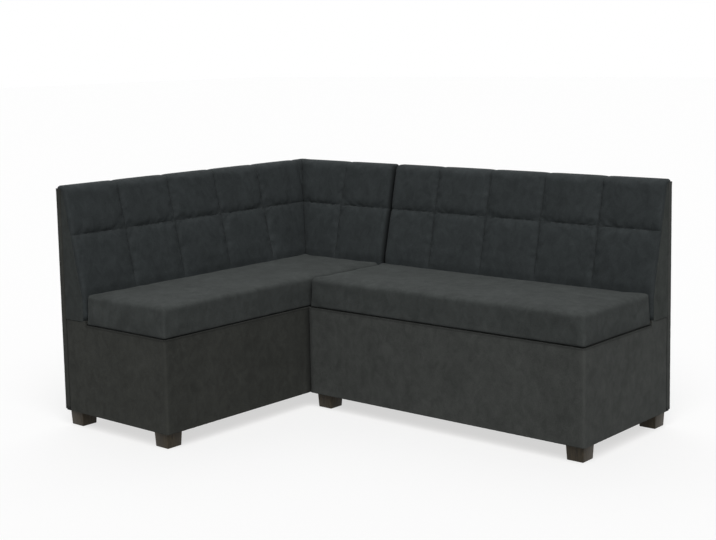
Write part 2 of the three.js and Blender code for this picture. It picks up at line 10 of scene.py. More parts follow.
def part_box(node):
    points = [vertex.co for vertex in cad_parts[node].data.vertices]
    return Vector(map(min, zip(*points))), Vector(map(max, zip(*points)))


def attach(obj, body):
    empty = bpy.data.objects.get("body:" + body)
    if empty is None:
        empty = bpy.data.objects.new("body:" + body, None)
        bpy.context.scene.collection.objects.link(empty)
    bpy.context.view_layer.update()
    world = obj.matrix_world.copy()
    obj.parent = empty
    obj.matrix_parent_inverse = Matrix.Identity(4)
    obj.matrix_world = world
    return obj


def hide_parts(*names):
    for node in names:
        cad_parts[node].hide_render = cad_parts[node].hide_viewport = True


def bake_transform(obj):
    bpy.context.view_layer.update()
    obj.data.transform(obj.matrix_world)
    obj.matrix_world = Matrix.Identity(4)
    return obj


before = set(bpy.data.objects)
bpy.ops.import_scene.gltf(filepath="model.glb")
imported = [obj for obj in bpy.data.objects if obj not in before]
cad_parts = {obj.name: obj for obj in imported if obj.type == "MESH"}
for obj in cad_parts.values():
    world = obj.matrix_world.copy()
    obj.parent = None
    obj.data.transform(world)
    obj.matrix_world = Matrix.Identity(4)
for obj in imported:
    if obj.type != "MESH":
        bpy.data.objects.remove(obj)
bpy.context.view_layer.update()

# The looks of a corner storage bench: velour upholstery over padded, tufted backs, two lift-up seat
# cushions, covered chests and dark wooden feet. Metres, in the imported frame's own axes.
# A place on a wing is (along, depth, height): along the wall, out from the wall, above the floor.
# A wave is (height, length, seed) of smooth unevenness.
MM = 0.001
SEED_SHIFTS = (7.3, 3.1, 5.7)

# Backs.
BACK_LOW_DEPTH = 131 * MM
BACK_TOP_DEPTH = 42 * MM
RECLINE_START = 466 * MM
PAD = 24 * MM
PAD_CAP = 12 * MM
BACK_FRONT_ROUND = 24 * MM
BACK_REAR_ROUND = 10 * MM
WALL_END_ROUND = 2.5 * MM
FREE_END_ROUND = 11 * MM
JOIN_END_ROUND = 14 * MM
CORNER_START_ROUND = 7 * MM
JOIN_INSET = 5.4 * MM
JOIN_LINING = 14 * MM
TOP_TUFT_SHARE = 0.4
TUFT_SEAM_HEIGHT = 684 * MM
TUFT_PITCH = 235 * MM
TUFT_BULGE = 7 * MM
TUFT_REACH = 17 * MM
CREASE_REACH = 5 * MM
UPRIGHT_GROOVE_SHARE = 0.42
LEVEL_GROOVE_SHARE = 0.44
LEVEL_PULL = (0.8, 60 * MM, 33)
CORNER_SEAM = 70 * MM
CLEAR_OF_LID = 40 * MM
SKIN_GAP = 0.4 * MM

# Painted shade in the creases of the backs, where the pile closes up and shade falls.
CREASE_SHADE_WIDTH = 4.5 * MM
UPRIGHT_SHADE_SHARES = {"left_back": 0.25, "return_back": 0.35, "right_back": 0.42}
FAR_SHADE_SHARE = 0.4
CREASE_SHADE_FADE = 75 * MM
LEVEL_SHADE_SHARE = 0.15
LEVEL_SHADE_WIDTH = 8 * MM
LEVEL_SHADE_PATCHES = (1, 45 * MM, 19)
JOIN_SHADE = 7 * MM
JOIN_SHADE_SHARE = 0.8
CORNER_SHADE = 24 * MM
CORNER_SHADE_SHARE = 0.32

# Grid steps of the upholstery.
FINE_STEP = 2 * MM
STEP_GROWTH = 1.32
WIDE_STEP = 9 * MM
ROUND_STEPS = 6
FOOT_ROWS = 5
ON_SEAM = FINE_STEP / 3
OVER_TOP_SHARE = 0.05
DOUBLED = 0.01 * MM
TOUCH = 0.03 * MM

# Cloth simulation.
CLOTH = {
    "quality": 5,
    "mass": 0.3,
    "tension_stiffness": 15,
    "compression_stiffness": 15,
    "shear_stiffness": 5,
    "bending_stiffness": 0.4,
    "use_pressure": True,
}
CLOTH_FRAMES = 16
LEAST_MOVE = 1e-9
BACK_PRESSURE = 2.0
BACK_GROWTH = 0.03
BACK_CAP = 2 * MM
BACK_CAP_LEAST = 0.3 * MM
SEAT_PRESSURE = 4.0
SEAT_GROWTH = 0.012
SEAT_CAP = 4 * MM

# Seat cushions: foam on a board, sharp below and round above.
SEAT_CELL = 22 * MM
SEAT_EDGE_LINES = [3 * MM, 6.5 * MM, 11 * MM, 17 * MM, 26 * MM]
SEAT_TOP_ROUND = 15 * MM
SEAT_REAR_ROUND = 8 * MM
SEAT_LOW_ROUND = 3 * MM
SEAT_CORNER = (8 * MM, 19 * MM)
SEAT_REAR_CORNER = (4 * MM, 9 * MM)
SEAT_JOIN_SWELL = 2.5 * MM
SEAT_TOP_LINE = 466 * MM
SEAT_CROWN = 7 * MM
SEAT_CROWN_FIRST = 5.5 * MM
SEAT_SIDE_DRAW = 2 * MM
SEAT_START_INSET = 0.7 * MM
SEAT_HANG = 2 * MM
SEAT_FOAM = (0.9 * MM, 130 * MM, 3)
SEAT_COVER_WAVES = ((0.35 * MM, 28 * MM, 11), (0.6 * MM, 75 * MM, 5))
SEAT_CREASE = (0.8 * MM, 42 * MM, 23)
SEAT_COVER_RISE = 40 * MM
SEAT_SLACK = 0.2 * MM
SEAT_TOP_SLACK = 2 * MM
RECESS_SIDE = 2 * MM
RECESS_BELOW = 10 * MM
RECESS_ABOVE = 3 * MM

# Painted highlights on the upright corners, standing in for the sheen of the velour where it is stretched
# round them and catches more light.
CORNER_HIGHLIGHT_WIDTH = 16 * MM
SEAT_HIGHLIGHT_SHARE = 0.1
BASE_HIGHLIGHT_SHARE = 0.4
HIGHLIGHT_STRENGTH = 0.75
HIGHLIGHT_PATCHES = (0.5, 40 * MM, 27)

# Painted shade along the lid line, where the pile on both sides turns in and shade falls in the gap.
LID_SHADE = 5 * MM
LID_SHADE_SHARE = 0.75
FACING_SHADE_SHARE = 0.3
FACING_FADE = 90 * MM
CHEST_JOIN_SHADE = 13 * MM

# Lids: a plywood board with the cushion's fabric turned under its edge.
WRAP = 1.1 * MM
WRAP_WIDTH = 26 * MM
WRAP_EDGE = 3 * MM
WRAP_CORNER = 2.5 * MM
WRAP_STEP = 9 * MM
WRAP_PUCKER = 0.45 * MM
WRAP_GATHER = (1, 16 * MM, 31)
WRAP_SHARES = (0.3, 0.6, 0.9)
PANEL_BEVEL = 0.8 * MM
STAPLE = (10 * MM, 1.1 * MM, 0.5 * MM)
STAPLE_PITCH = 38 * MM
STAPLE_LINE = 13 * MM

# Chest covers.
COVER_THICKNESS = 3 * MM
COVER_CORNER = 9 * MM
COVER_STEP = 11 * MM
COVER_ROW = 12 * MM
COVER_LOW_SHARES = (0, 0.002, 0.006, 0.012)
COVER_EVEN_SHARES = (0.025, 0.975)
COVER_HIGH_SHARES = (0.988, 0.993, 0.997, 0.999, 1)
COVER_WANDER = 0.9 * MM
COVER_WAVES = ((1, 160 * MM, 2), (0.5, 60 * MM, 8))
COVER_FADE = 30 * MM
PUCKER = 0.7 * MM
PUCKER_PITCH = 17 * MM
PUCKER_DRIFT = (4, 90 * MM, 4)
PUCKER_PATCHES = (1.2, 140 * MM, 6)
PUCKER_HEIGHT = 26 * MM
RIM_ROLL = 1.6 * MM
RIM_DRAW = 1 * MM
MARK_WIDTH = 0.2 * MM
ON_SIDE = 1 * MM

# Fabric folded over the top edges of the chest panels, pressed under the lid board.
FOLD = 0.6 * MM
FOLD_PRESSED = 0.2 * MM
FOLD_THICK_WIDTH = 7 * MM
FOLD_DROP = 42 * MM
FOLD_STEP = 11 * MM
FOLD_PUCKER = (1.5 * MM, 25 * MM, 17)
MOUTH_TOP = 372 * MM
LEDGE_LIP = 18 * MM

# Rear cloth and its hem on the free ends.
REAR_CLOTH = 1.0 * MM
REAR_CLOTH_OFF = 0.3 * MM
REAR_CLOTH_END = 0.22 * MM
REAR_CLOTH_LOW = 60 * MM
REAR_CLOTH_HIGH = 843 * MM
REAR_CLOTH_STEP = 15 * MM
REAR_CLOTH_ROWS = 60
REAR_CLOTH_ROUND = 4 * MM
REAR_CLOTH_CLOSE = 3 * MM
REAR_CLOTH_SAG = (0.8 * MM, 190 * MM, 12)
SAG_SHARE = 0.6
SAG_FADE = 60 * MM
HEM_WIDTH = 27 * MM
HEM_FINE_WIDTH = 43.2 * MM
HEM_FINE_POINTS = 18
HEM_BULGE = 1.1 * MM
HEM_BULGE_PLACE = 5 * MM
HEM_THIN_SHARE = 0.35
HEM_THIN = 3 * MM
HEM_GATHER = (0.3 * MM, 14 * MM, 9)
HEM_GATHER_SHARES = [0.4, 0.4, 1]
HEM_TOP_ROLL = 0.6 * MM
HEM_TOP_REACH = 18 * MM
HEM_SHADE = 3.5 * MM
HEM_SHADE_SHARE = 0.7
HEM_TOP_SHADE = 11 * MM

# End covers of the backs.
END_COVER = 1.1 * MM
END_COVER_SHARE = 0.15
END_COVER_EDGE = 24 * MM
END_COVER_LAP = 4 * MM
END_COVER_REAR = 16.2 * MM
END_COVER_STEPS = 14
END_COVER_WAVE = (0.5 * MM, 120 * MM, 21)

# Stitches in the seams of the backs. A ring has a place along the stitch, a width and a lift.
STITCH_PITCH = 6.5 * MM
STITCH_LENGTH = 5 * MM
STITCH_RING_SHARES = ((-0.5, 0.5, -1.2), (-0.3, 1, 0), (0, 1.1, 0.3), (0.3, 1, 0), (0.5, 0.5, -1.2))
STITCH_SIDES = 6
THREAD_RADIUS = 0.55 * MM

# Feet.
FOOT_BEVEL = 2.2 * MM

# Camera: fitted to the photograph, 716 by 540.
CAMERA_PLACE = (2.9593, -3.4514, 1.3145)
CAMERA_TURNS = (-40.657, -6.992, -1.096)
CAMERA_LENS = 67.25
CAMERA_SHIFT = -0.0838
CAMERA_REACH = 100

# Colours, as written on a screen. The six fabrics are one velour, painted lighter or darker piece by piece
# for how the light falls on each: the seats lighter, the backs darker, the long chest and the right end
# lighter than the short chest and the left end. Then how much lighter the painted corner highlights are and
# how much darker the painted shade is.
FABRIC_COLOURS = {
    "seat_fabric": (64, 67, 66),
    "back_fabric": (54, 58, 59),
    "base_fabric": (61, 62, 59),
    "long_base_fabric": (72, 74, 72),
    "end_fabric": (57, 60, 59),
    "long_end_fabric": (63, 66, 64),
}
HIGHLIGHT_LIGHTNESS = 1.15
SHADE_DARKNESS = 0.6
THREAD_COLOUR = (42, 45, 46)
FOOT_TONES = ((0.30, (38, 34, 27)), (0.52, (65, 58, 46)), (0.72, (90, 80, 64)))
CHIP_TONES = ((0.0, (140, 112, 78)), (0.35, (176, 148, 108)), (0.7, (196, 170, 128)), (1.0, (214, 190, 150)))
PLY_TONES = ((0.28, (158, 124, 82)), (0.5, (196, 164, 118)), (0.75, (216, 188, 144)))
HARDBOARD_TONES = ((0.3, (82, 58, 38)), (0.5, (112, 82, 55)), (0.7, (134, 102, 70)))
ZINC_TONES = ((0.3, (150, 153, 156)), (0.7, (196, 198, 198)))

# Heights of the finest unevenness, in the materials.
CREASE_BUMP = 1.6 * MM
NAP_BUMP = 0.5 * MM
THREAD_BUMP = 0.2 * MM
GRAIN_BUMP = 0.5 * MM
FIBRE_BUMP = 0.4 * MM
SCUFF_BUMP = 0.1 * MM

# Light: each lamp's strength, spread in degrees and direction, and the world and floor.
LAMPS = {"key": (2.3, 50, (-0.52, 0.58, -1)), "fill": (1.0, 80, (0.6, -0.6, -0.4))}
SKY = 0.22
FLOOR_SIZE = 40
FLOOR_SHADE = 0.25
FLOOR_SEEN = 0.95
FLOOR_GLOW = 1.05
FLOOR_GLOW_SHARE = 0.6

# Places read from the frame.
LEFT_LOW, LEFT_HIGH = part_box("left_back_pad")
RIGHT_LOW, RIGHT_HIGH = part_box("right_back_pad")
CHESTS = {name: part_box(name + "_base_cover") for name in ("short", "long")}
SIDE_WALL = LEFT_LOW.x
REAR_WALL = RIGHT_HIGH.y
SHORT_FREE_END = LEFT_LOW.y
LONG_FREE_END = RIGHT_HIGH.x
SHORT_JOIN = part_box("return_back_pad")[1].x
LONG_JOIN = RIGHT_LOW.x
JOIN = (SHORT_JOIN + LONG_JOIN) / 2
BACK_BOTTOM = LEFT_LOW.z
BACK_TOP = LEFT_HIGH.z
SIDE_MOUTH = SIDE_WALL + BACK_LOW_DEPTH
REAR_MOUTH = REAR_WALL - BACK_LOW_DEPTH
LEAN = math.atan2(BACK_LOW_DEPTH - BACK_TOP_DEPTH, BACK_TOP - RECLINE_START)


def srgb(colour):
    """A screen colour as the linear values that a shader takes."""
    shares = [c / 255 for c in colour]
    return [s / 12.92 if s <= 0.04045 else ((s + 0.055) / 1.055) ** 2.4 for s in shares] + [1]


# Materials.
class Nodes:
    """Builds the node tree of a material or world with short calls."""

    def __init__(self, owner):
        owner.use_nodes = True
        self.owner = owner
        self.tree = owner.node_tree

    def fill(self, node, inputs):
        """Links values to a node's inputs, or sets them there."""
        for name, value in inputs.items():
            if isinstance(value, bpy.types.NodeSocket):
                self.tree.links.new(value, node.inputs[name])
            else:
                node.inputs[name].default_value = value

    def add(self, kind, output, inputs, **settings):
        """One output of a new node."""
        node = self.tree.nodes.new("ShaderNode" + kind)
        for name, value in settings.items():
            setattr(node, name, value)
        self.fill(node, inputs)
        return node.outputs[output]

    def place(self, stretch=(1, 1, 1)):
        """Where each point lies in its piece."""
        return self.add("Mapping", 0, {"Vector": self.add("TexCoord", "Object", {}), "Scale": stretch})

    def noise(self, scale, detail, roughness, distortion=0.0, stretch=(1, 1, 1)):
        inputs = {"Vector": self.place(stretch), "Scale": scale, "Detail": detail}
        inputs.update({"Roughness": roughness, "Distortion": distortion})
        return self.add("TexNoise", "Fac", inputs)

    def ramp(self, value, stops):
        """value turned into linear colours, by stops of (place, colour)."""
        output = self.add("ValToRGB", "Color", {"Fac": value})
        elements = output.node.color_ramp.elements
        while len(elements) < len(stops):
            elements.new(0.5)
        for element, (place, colour) in zip(elements, stops):
            element.position = place
            element.color = colour
        return output

    def tones(self, value, stops):
        """value turned into screen colours."""
        return self.ramp(value, [(place, srgb(colour)) for place, colour in stops])

    def grey(self, value, low=0.3, high=0.7, dark=0.35, light=0.65):
        """value turned into greys from dark to light as it goes from low to high."""
        return self.ramp(value, [(low, (dark, dark, dark, 1)), (high, (light, light, light, 1))])

    def blend(self, mode, factor, a, b):
        inputs = {0: factor, 6: a, 7: b}
        return self.add("Mix", 2, inputs, data_type="RGBA", blend_type=mode, clamp_result=True)

    def mottled(self, colour, share, value, *greys):
        """colour made lighter and darker by value."""
        return self.blend("OVERLAY", share, colour, self.grey(value, *greys))

    def shaded(self, name, a, b):
        """Colour a, turned into screen colour b where a piece is marked: painted highlights and painted
        shade.
        """
        return self.blend("MIX", self.add("Attribute", "Fac", {}, attribute_name=name), a, srgb(b))

    def bump(self, height, distance, strength, **below):
        inputs = {"Height": height, "Distance": distance, "Strength": strength, **below}
        return self.add("Bump", "Normal", inputs)

    def finish(self, colour, roughness, normal, fixed=None):
        inputs = {"Base Color": colour, "Roughness": roughness, "Normal": normal, **(fixed or {})}
        self.fill(self.tree.nodes["Principled BSDF"], inputs)
        return self.owner


def velour(n, colour):
    """Short-pile furniture fabric: soft clouds where the pile leans, brushed streaks, a fine nap, and painted
    highlights and painted shade where a piece is marked.
    """
    toned = n.mottled(srgb(colour), 0.32, n.noise(8.0, 3.0, 0.6, 0.4))
    toned = n.mottled(toned, 0.36, n.noise(30.0, 4.0, 0.6, 0.6, (1.0, 1.0, 0.8)), 0.32, 0.68, 0.3, 0.7)
    toned = n.mottled(toned, 0.30, n.noise(420.0, 2.0, 0.7), 0.3, 0.7, 0.25, 0.75)
    # Painted highlight on the marked corners.
    toned = n.shaded("painted_highlight", toned, [min(255, c * HIGHLIGHT_LIGHTNESS) for c in colour])
    # Painted shade in the marked creases, seams and gaps.
    toned = n.shaded("crease", toned, [c * SHADE_DARKNESS for c in colour])
    folds = n.bump(n.noise(85.0, 3.0, 0.6, 1.2), CREASE_BUMP, 0.22)
    nap = n.bump(n.noise(1500.0, 2.0, 0.6), NAP_BUMP, 0.35, Normal=folds)
    sheen = {"Sheen Weight": 0.03, "Sheen Roughness": 0.45, "Sheen Tint": (0.72, 0.78, 0.8, 1)}
    return n.finish(toned, 0.92, nap, {"Specular IOR Level": 0.1, **sheen})


def thread(n):
    """Twisted sewing thread."""
    twist = n.noise(900.0, 2.0, 0.5, 0.4)
    toned = n.mottled(srgb(THREAD_COLOUR), 0.4, twist)
    return n.finish(toned, 0.6, n.bump(twist, THREAD_BUMP, 0.4), {"Specular IOR Level": 0.3})


def dark_wood(n):
    """Stained, varnished hardwood with a fine upright grain."""
    fibres = n.noise(60.0, 6.0, 0.7, 0.3, (6.0, 6.0, 0.35))
    bands = n.noise(16.0, 3.0, 0.5, 1.5, (3.0, 3.0, 0.25))
    colour = n.mottled(n.tones(fibres, FOOT_TONES), 0.5, bands)
    varnish = {"Specular IOR Level": 0.2, "Coat Weight": 0.03, "Coat Roughness": 0.3}
    return n.finish(colour, n.grey(fibres, 0.3, 0.7, 0.36, 0.52), n.bump(fibres, GRAIN_BUMP, 0.35), varnish)


def chipboard(n):
    """Pressed chips in several browns."""
    chips = n.add("TexVoronoi", "Color", {"Vector": n.place((1.0, 1.0, 1.6)), "Scale": 170.0})
    dust = n.noise(600.0, 3.0, 0.7)
    colour = n.mottled(n.tones(n.add("SeparateColor", 0, {0: chips}), CHIP_TONES), 0.4, dust)
    return n.finish(colour, 0.85, n.bump(dust, GRAIN_BUMP, 0.4))


def plywood(n, stretch):
    """Birch plywood: long grain on the faces, thin glue lines at the edges."""
    grain = n.noise(22.0, 6.0, 0.65, 1.4, stretch)
    inputs = {"Vector": n.place(), "Scale": 120.0, "Distortion": 0.6}
    glue = n.grey(n.add("TexWave", "Fac", inputs, bands_direction="Z"), 0.2, 0.8, 0.55, 1.0)
    colour = n.blend("MULTIPLY", 0.22, n.tones(grain, PLY_TONES), glue)
    return n.finish(colour, 0.7, n.bump(grain, GRAIN_BUMP, 0.3))


def hardboard(n):
    """Brown pressed-fibre board."""
    fibre = n.noise(320.0, 4.0, 0.7, 0.6)
    colour = n.mottled(n.tones(fibre, HARDBOARD_TONES), 0.3, n.noise(9.0, 2.0, 0.5))
    return n.finish(colour, 0.78, n.bump(fibre, FIBRE_BUMP, 0.4))


def zinc_steel(n):
    """Zinc-plated steel, lightly mottled."""
    spangle = n.noise(160.0, 3.0, 0.6)
    scuffs = n.bump(n.noise(900.0, 2.0, 0.6), SCUFF_BUMP, 0.25)
    rough = n.grey(spangle, 0.3, 0.7, 0.28, 0.44)
    return n.finish(n.tones(spangle, ZINC_TONES), rough, scuffs, {"Metallic": 1.0})


MATERIALS = {}
for name, make, *details in (
    *((fabric, velour, colour) for fabric, colour in FABRIC_COLOURS.items()),
    ("thread", thread),
    ("foot_wood", dark_wood),
    ("chipboard", chipboard),
    ("plywood", plywood, (0.35, 6.0, 6.0)),
    ("short_plywood", plywood, (6.0, 0.35, 6.0)),
    ("hardboard", hardboard),
    ("steel", zinc_steel),
):
    MATERIALS[name] = make(Nodes(bpy.data.materials.new(name)), *details)


# Meshes.
def wander(points, wavelength, seed):
    """Smooth noise from about -1 to 1 at each point."""
    shift = Vector([seed * s for s in SEED_SHIFTS])
    return np.array([noise.noise(Vector(p) / wavelength + shift) for p in points])


def uneven(points, wave):
    """A wave's height at each point."""
    height, length, seed = wave
    return height * wander(points, length, seed)


def ease(value):
    """0 below 0, 1 above 1, and smooth between."""
    t = np.clip(value, 0, 1)
    return t * t * (3 - 2 * t)


def near(distance, reach):
    """1 at no distance, fading to 0 past reach."""
    return np.exp(-((distance / reach) ** 2))


def side_wing(along, depth, height):
    """Places on the side wing."""
    return np.stack(np.broadcast_arrays(SIDE_WALL + depth, along, height), axis=-1)


def rear_wing(along, depth, height):
    """Places on the rear wing."""
    return np.stack(np.broadcast_arrays(along, REAR_WALL - depth, height), axis=-1)


def new_object(name, points, faces):
    mesh = bpy.data.meshes.new(name)
    mesh.from_pydata([tuple(p) for p in points], [], faces)
    mesh.validate()
    obj = bpy.data.objects.new(name, mesh)
    bpy.context.scene.collection.objects.link(obj)
    return obj


def closed_object(name, points, faces):
    """A new object with its faces turned outward and doubled points removed."""
    obj = new_object(name, points, faces)
    bm = bmesh.new()
    bm.from_mesh(obj.data)
    bmesh.ops.remove_doubles(bm, verts=bm.verts, dist=DOUBLED)
    bmesh.ops.recalc_face_normals(bm, faces=bm.faces)
    bm.to_mesh(obj.data)
    bm.free()
    return obj


def bevel(obj, width, segments):
    """Eases all edges."""
    bm = bmesh.new()
    bm.from_mesh(obj.data)
    bmesh.ops.bevel(bm, geom=bm.edges, offset=width, segments=segments, profile=0.5, affect="EDGES")
    bm.to_mesh(obj.data)
    bm.free()


def coordinates(obj):
    values = np.zeros(len(obj.data.vertices) * 3, np.float32)
    obj.data.vertices.foreach_get("co", values)
    return values.reshape(-1, 3).astype(float)


def set_coordinates(obj, points):
    obj.data.vertices.foreach_set("co", points.astype(np.float32).ravel())
    obj.data.update()


def evaluated(obj):
    return obj.evaluated_get(bpy.context.evaluated_depsgraph_get())


def dress(obj, body, slot_name, stands_for=(), smooth=True, finish=None):
    """Gives a finished piece its body and its material: its finish, or else the one that slot_name names.
    Hides the solids that it stands for. A piece with no body is left unattached."""
    obj.data.materials.clear()
    obj.data.materials.append(MATERIALS[finish or slot_name])
    obj.data.polygons.foreach_set("use_smooth", [smooth] * len(obj.data.polygons))
    if body:
        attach(obj, body)
    if stands_for:
        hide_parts(*stands_for)


def mark(obj, name, values):
    """Stores one value at each point for the materials to read."""
    layer = obj.data.attributes.new(name, "FLOAT", "POINT")
    layer.data.foreach_set("value", values.astype(np.float32))


def paint_corner_highlights(obj, low, high, share):
    """Marks the upright corners for a painted highlight, standing in for the sheen on their rounding."""
    p = coordinates(obj)
    from_x = np.minimum(abs(p[:, 0] - low.x), abs(p[:, 0] - high.x))
    from_y = np.minimum(abs(p[:, 1] - low.y), abs(p[:, 1] - high.y))
    highlighted = near(np.hypot(from_x, from_y), CORNER_HIGHLIGHT_WIDTH)
    mark(obj, "painted_highlight", share * highlighted * np.clip(HIGHLIGHT_STRENGTH + uneven(p, HIGHLIGHT_PATCHES), 0, 1))


def grid_faces(rows, columns, ring_rows=False, ring_columns=False):
    """Quads over a grid of points stored row by row. A ring joins its last row or column to its first."""
    faces = []
    for r in range(rows if ring_rows else rows - 1):
        a, b = r * columns, (r + 1) % rows * columns
        for c in range(columns if ring_columns else columns - 1):
            d = (c + 1) % columns
            faces.append((a + c, a + d, b + d, b + c))
    return faces


def shifted(faces, first):
    """The same faces on points that start at first."""
    return [tuple(first + i for i in face) for face in faces]


def close_skins(name, outer, inner):
    """One closed piece from its outer and inner skin, two equal grids of points."""
    rows, columns = outer.shape[:2]
    end, last, offset = columns - 1, (rows - 1) * columns, rows * columns
    faces = grid_faces(rows, columns)
    faces += shifted([face[::-1] for face in faces], offset)
    for c in range(end):
        faces.append((c + 1, c, offset + c, offset + c + 1))
        faces.append((last + c, last + c + 1, offset + last + c + 1, offset + last + c))
    for r in range(rows - 1):
        a, b = r * columns, (r + 1) * columns
        faces.append((a, b, offset + b, offset + a))
        faces.append((b + end, a + end, offset + a + end, offset + b + end))
    return closed_object(name, np.concatenate([outer, inner]).reshape(-1, 3), faces)


def run_along(points):
    """How far each point of a path lies from its start, along the path."""
    return np.concatenate([[0], np.cumsum(np.linalg.norm(np.diff(points, axis=0), axis=1))])


def settle_cloth(obj, held, pressure, growth, cap):
    """Lets the skin swell under pressure and pucker by its excess, each point by no more than cap."""
    start = coordinates(obj)
    group = obj.vertex_groups.new(name="held")
    group.add([int(i) for i in np.flatnonzero(held)], 1.0, "REPLACE")
    modifier = obj.modifiers.new("cloth", "CLOTH")
    cloth = modifier.settings
    for name, value in CLOTH.items():
        setattr(cloth, name, value)
    cloth.vertex_group_mass = "held"
    cloth.uniform_pressure_force = pressure
    cloth.shrink_min = -growth
    cloth.effector_weights.gravity = 0
    modifier.collision_settings.use_collision = False
    modifier.point_cache.frame_start = 1
    modifier.point_cache.frame_end = CLOTH_FRAMES
    for number in range(1, CLOTH_FRAMES + 1):
        bpy.context.scene.frame_set(number)
    moved = coordinates(evaluated(obj)) - start
    length = np.maximum(np.linalg.norm(moved, axis=1), LEAST_MOVE)
    room = np.maximum(np.broadcast_to(cap, length.shape), LEAST_MOVE)
    share = np.tanh(length / room) * room / length
    obj.modifiers.remove(modifier)
    obj.vertex_groups.remove(group)
    bpy.context.scene.frame_set(1)
    set_coordinates(obj, start + moved * share[:, None])


# Backs.
def graded(start, end, fine_start=True, fine_end=True):
    """Stations from start to end, close together at the sewn ends and wider between."""
    def steps(length, fine):
        step = FINE_STEP if fine else WIDE_STEP
        made = []
        while sum(made) < length:
            made.append(step)
            step = min(step * STEP_GROWTH, WIDE_STEP)
        return np.cumsum([0] + made) * (length / sum(made))

    half = (end - start) / 2
    return list(start + steps(half, fine_start)) + list((end - steps(half, fine_end)[::-1])[1:])


def stations(seams, rounds):
    """All places along a back: round ends, then graded cells between the seams."""
    angles = np.arange(ROUND_STEPS) / ROUND_STEPS * math.pi / 2
    places = list(seams[0] + rounds[0] * (1 - np.cos(angles)))
    edges = [seams[0] + rounds[0], *seams[1:-1], seams[-1] - rounds[1]]
    for i, (a, b) in enumerate(zip(edges, edges[1:])):
        places += graded(a, b, i > 0, i + 2 < len(edges))[min(i, 1):]
    return np.array(places + list((seams[-1] - rounds[1] * (1 - np.cos(angles)))[::-1]))


def front_depth(height):
    """Depth of the reclined face at a height, before tufting."""
    recline = (BACK_LOW_DEPTH - BACK_TOP_DEPTH) / (BACK_TOP - RECLINE_START)
    return BACK_LOW_DEPTH - np.maximum(0, height - RECLINE_START) * recline


def section():
    """The rows of a back's outer skin, from foot to rear: (depth, height, outward depth, outward height)."""
    turn = math.pi / 2 - LEAN
    setback = BACK_FRONT_ROUND * math.tan(turn / 2)
    face_end = BACK_TOP - setback * math.cos(LEAN)
    rows = [(BACK_LOW_DEPTH, z, 1, 0) for z in np.linspace(BACK_BOTTOM, RECLINE_START, FOOT_ROWS)[:-1]]
    face = graded(RECLINE_START, TUFT_SEAM_HEIGHT, False, True)
    face += graded(TUFT_SEAM_HEIGHT, face_end, True, False)[1:]
    rows += [(float(front_depth(z)), z, math.cos(LEAN), math.sin(LEAN)) for z in face]
    front, rear = BACK_FRONT_ROUND, BACK_REAR_ROUND
    middle = BACK_TOP_DEPTH - setback
    arcs = [(middle, front, LEAN + turn * k / ROUND_STEPS) for k in range(1, ROUND_STEPS + 1)]
    arcs += [(rear, rear, math.pi / 2 * (1 + k / ROUND_STEPS)) for k in range(ROUND_STEPS + 1)]
    for centre, radius, angle in arcs:
        out, up = math.cos(angle), math.sin(angle)
        rows.append((centre + radius * out, BACK_TOP - radius + radius * up, out, up))
    return np.array(rows)


def inner_section(rows):
    """Depths and heights of a back's inner face, which lies on the frame, one for each outer row."""
    frame_top = BACK_TOP - PAD_CAP + SKIN_GAP
    inner_low = BACK_LOW_DEPTH - PAD + SKIN_GAP
    inner_top = float(front_depth(frame_top)) - PAD + SKIN_GAP
    outer = run_along(rows[:, :2])
    crease = int(np.argmin(abs(rows[:, 1] - RECLINE_START) + (rows[:, 0] < inner_low)))
    corner = int(np.argmax(rows[:, 0] + rows[:, 1] - 2 * abs(rows[:, 2] - rows[:, 3])))
    keys = [outer[0], outer[crease], outer[max(corner, crease + 1)], outer[-1]]
    depths = np.interp(outer, keys, [inner_low, inner_low, inner_top, 0])
    return depths, np.interp(outer, keys, [BACK_BOTTOM, RECLINE_START, frame_top, frame_top])


def fullness(distance, groove):
    """How full a tuft is at a distance from its seam, from 0 to 1. groove is its steep share."""
    distance = np.maximum(distance, 0)
    return 1 - groove * np.exp(-distance / CREASE_REACH) - (1 - groove) * np.exp(-distance / TUFT_REACH)


def from_seams(along, seams):
    """How far each place lies from its nearest upright seam."""
    return np.min(abs(np.asarray(along)[..., None] - np.asarray(seams)), axis=-1)


def clear_of_lid(height):
    """0 where a back has to leave room for the lid, 1 well above."""
    return ease((height - RECLINE_START) / CLEAR_OF_LID)


def tuft_swell(along, height, seams):
    """How far a tufted face swells. The quilting pulls unevenly along the level seam."""
    line = np.zeros((along.size, 3))
    line[:, 0] = along.ravel()
    groove = LEVEL_GROOVE_SHARE * (1 + uneven(line, LEVEL_PULL).reshape(along.shape))
    level = fullness(abs(height - TUFT_SEAM_HEIGHT), groove)
    upright = fullness(from_seams(along, seams), UPRIGHT_GROOVE_SHARE)
    return TUFT_BULGE * upright * level * clear_of_lid(height)


def back_skin(along, rows, seams, rounds):
    """The outer skin of a back as arrays of depth and height, row by row."""
    out = rows[:, 2]
    front = TOP_TUFT_SHARE + (1 - TOP_TUFT_SHARE) * np.clip(out, 0, 1)
    over_top = np.where(out > 0, front, TOP_TUFT_SHARE * (1 + out))
    move = tuft_swell(along[None, :], rows[:, 1, None], seams[1:-1]) * over_top[:, None]
    inset = np.zeros_like(along)
    for end, radius in zip((seams[0], seams[-1]), rounds):
        left = np.clip(radius - abs(along - end), 0, radius)
        inset = np.maximum(inset, radius - np.sqrt(radius**2 - left**2))
    move = move - inset[None, :]
    depth = rows[:, 0, None] + rows[:, 2, None] * move
    foot = rows[:, 1] < RECLINE_START
    depth[foot] = np.minimum(depth[foot], BACK_LOW_DEPTH)
    return depth, rows[:, 1, None] + rows[:, 3, None] * move


def left_face(depth, height):
    """Where the return back starts, for each of its places: on the tufted face of the left back."""
    rows = section()
    upper = rows[rows[:, 2] > 0]
    upper = upper[np.argsort(upper[:, 1])]
    face = np.interp(height, upper[:, 1], upper[:, 0])
    return SIDE_WALL + face + tuft_swell(REAR_WALL - depth, height, LEFT_SEAMS[1:-1]) + SKIN_GAP


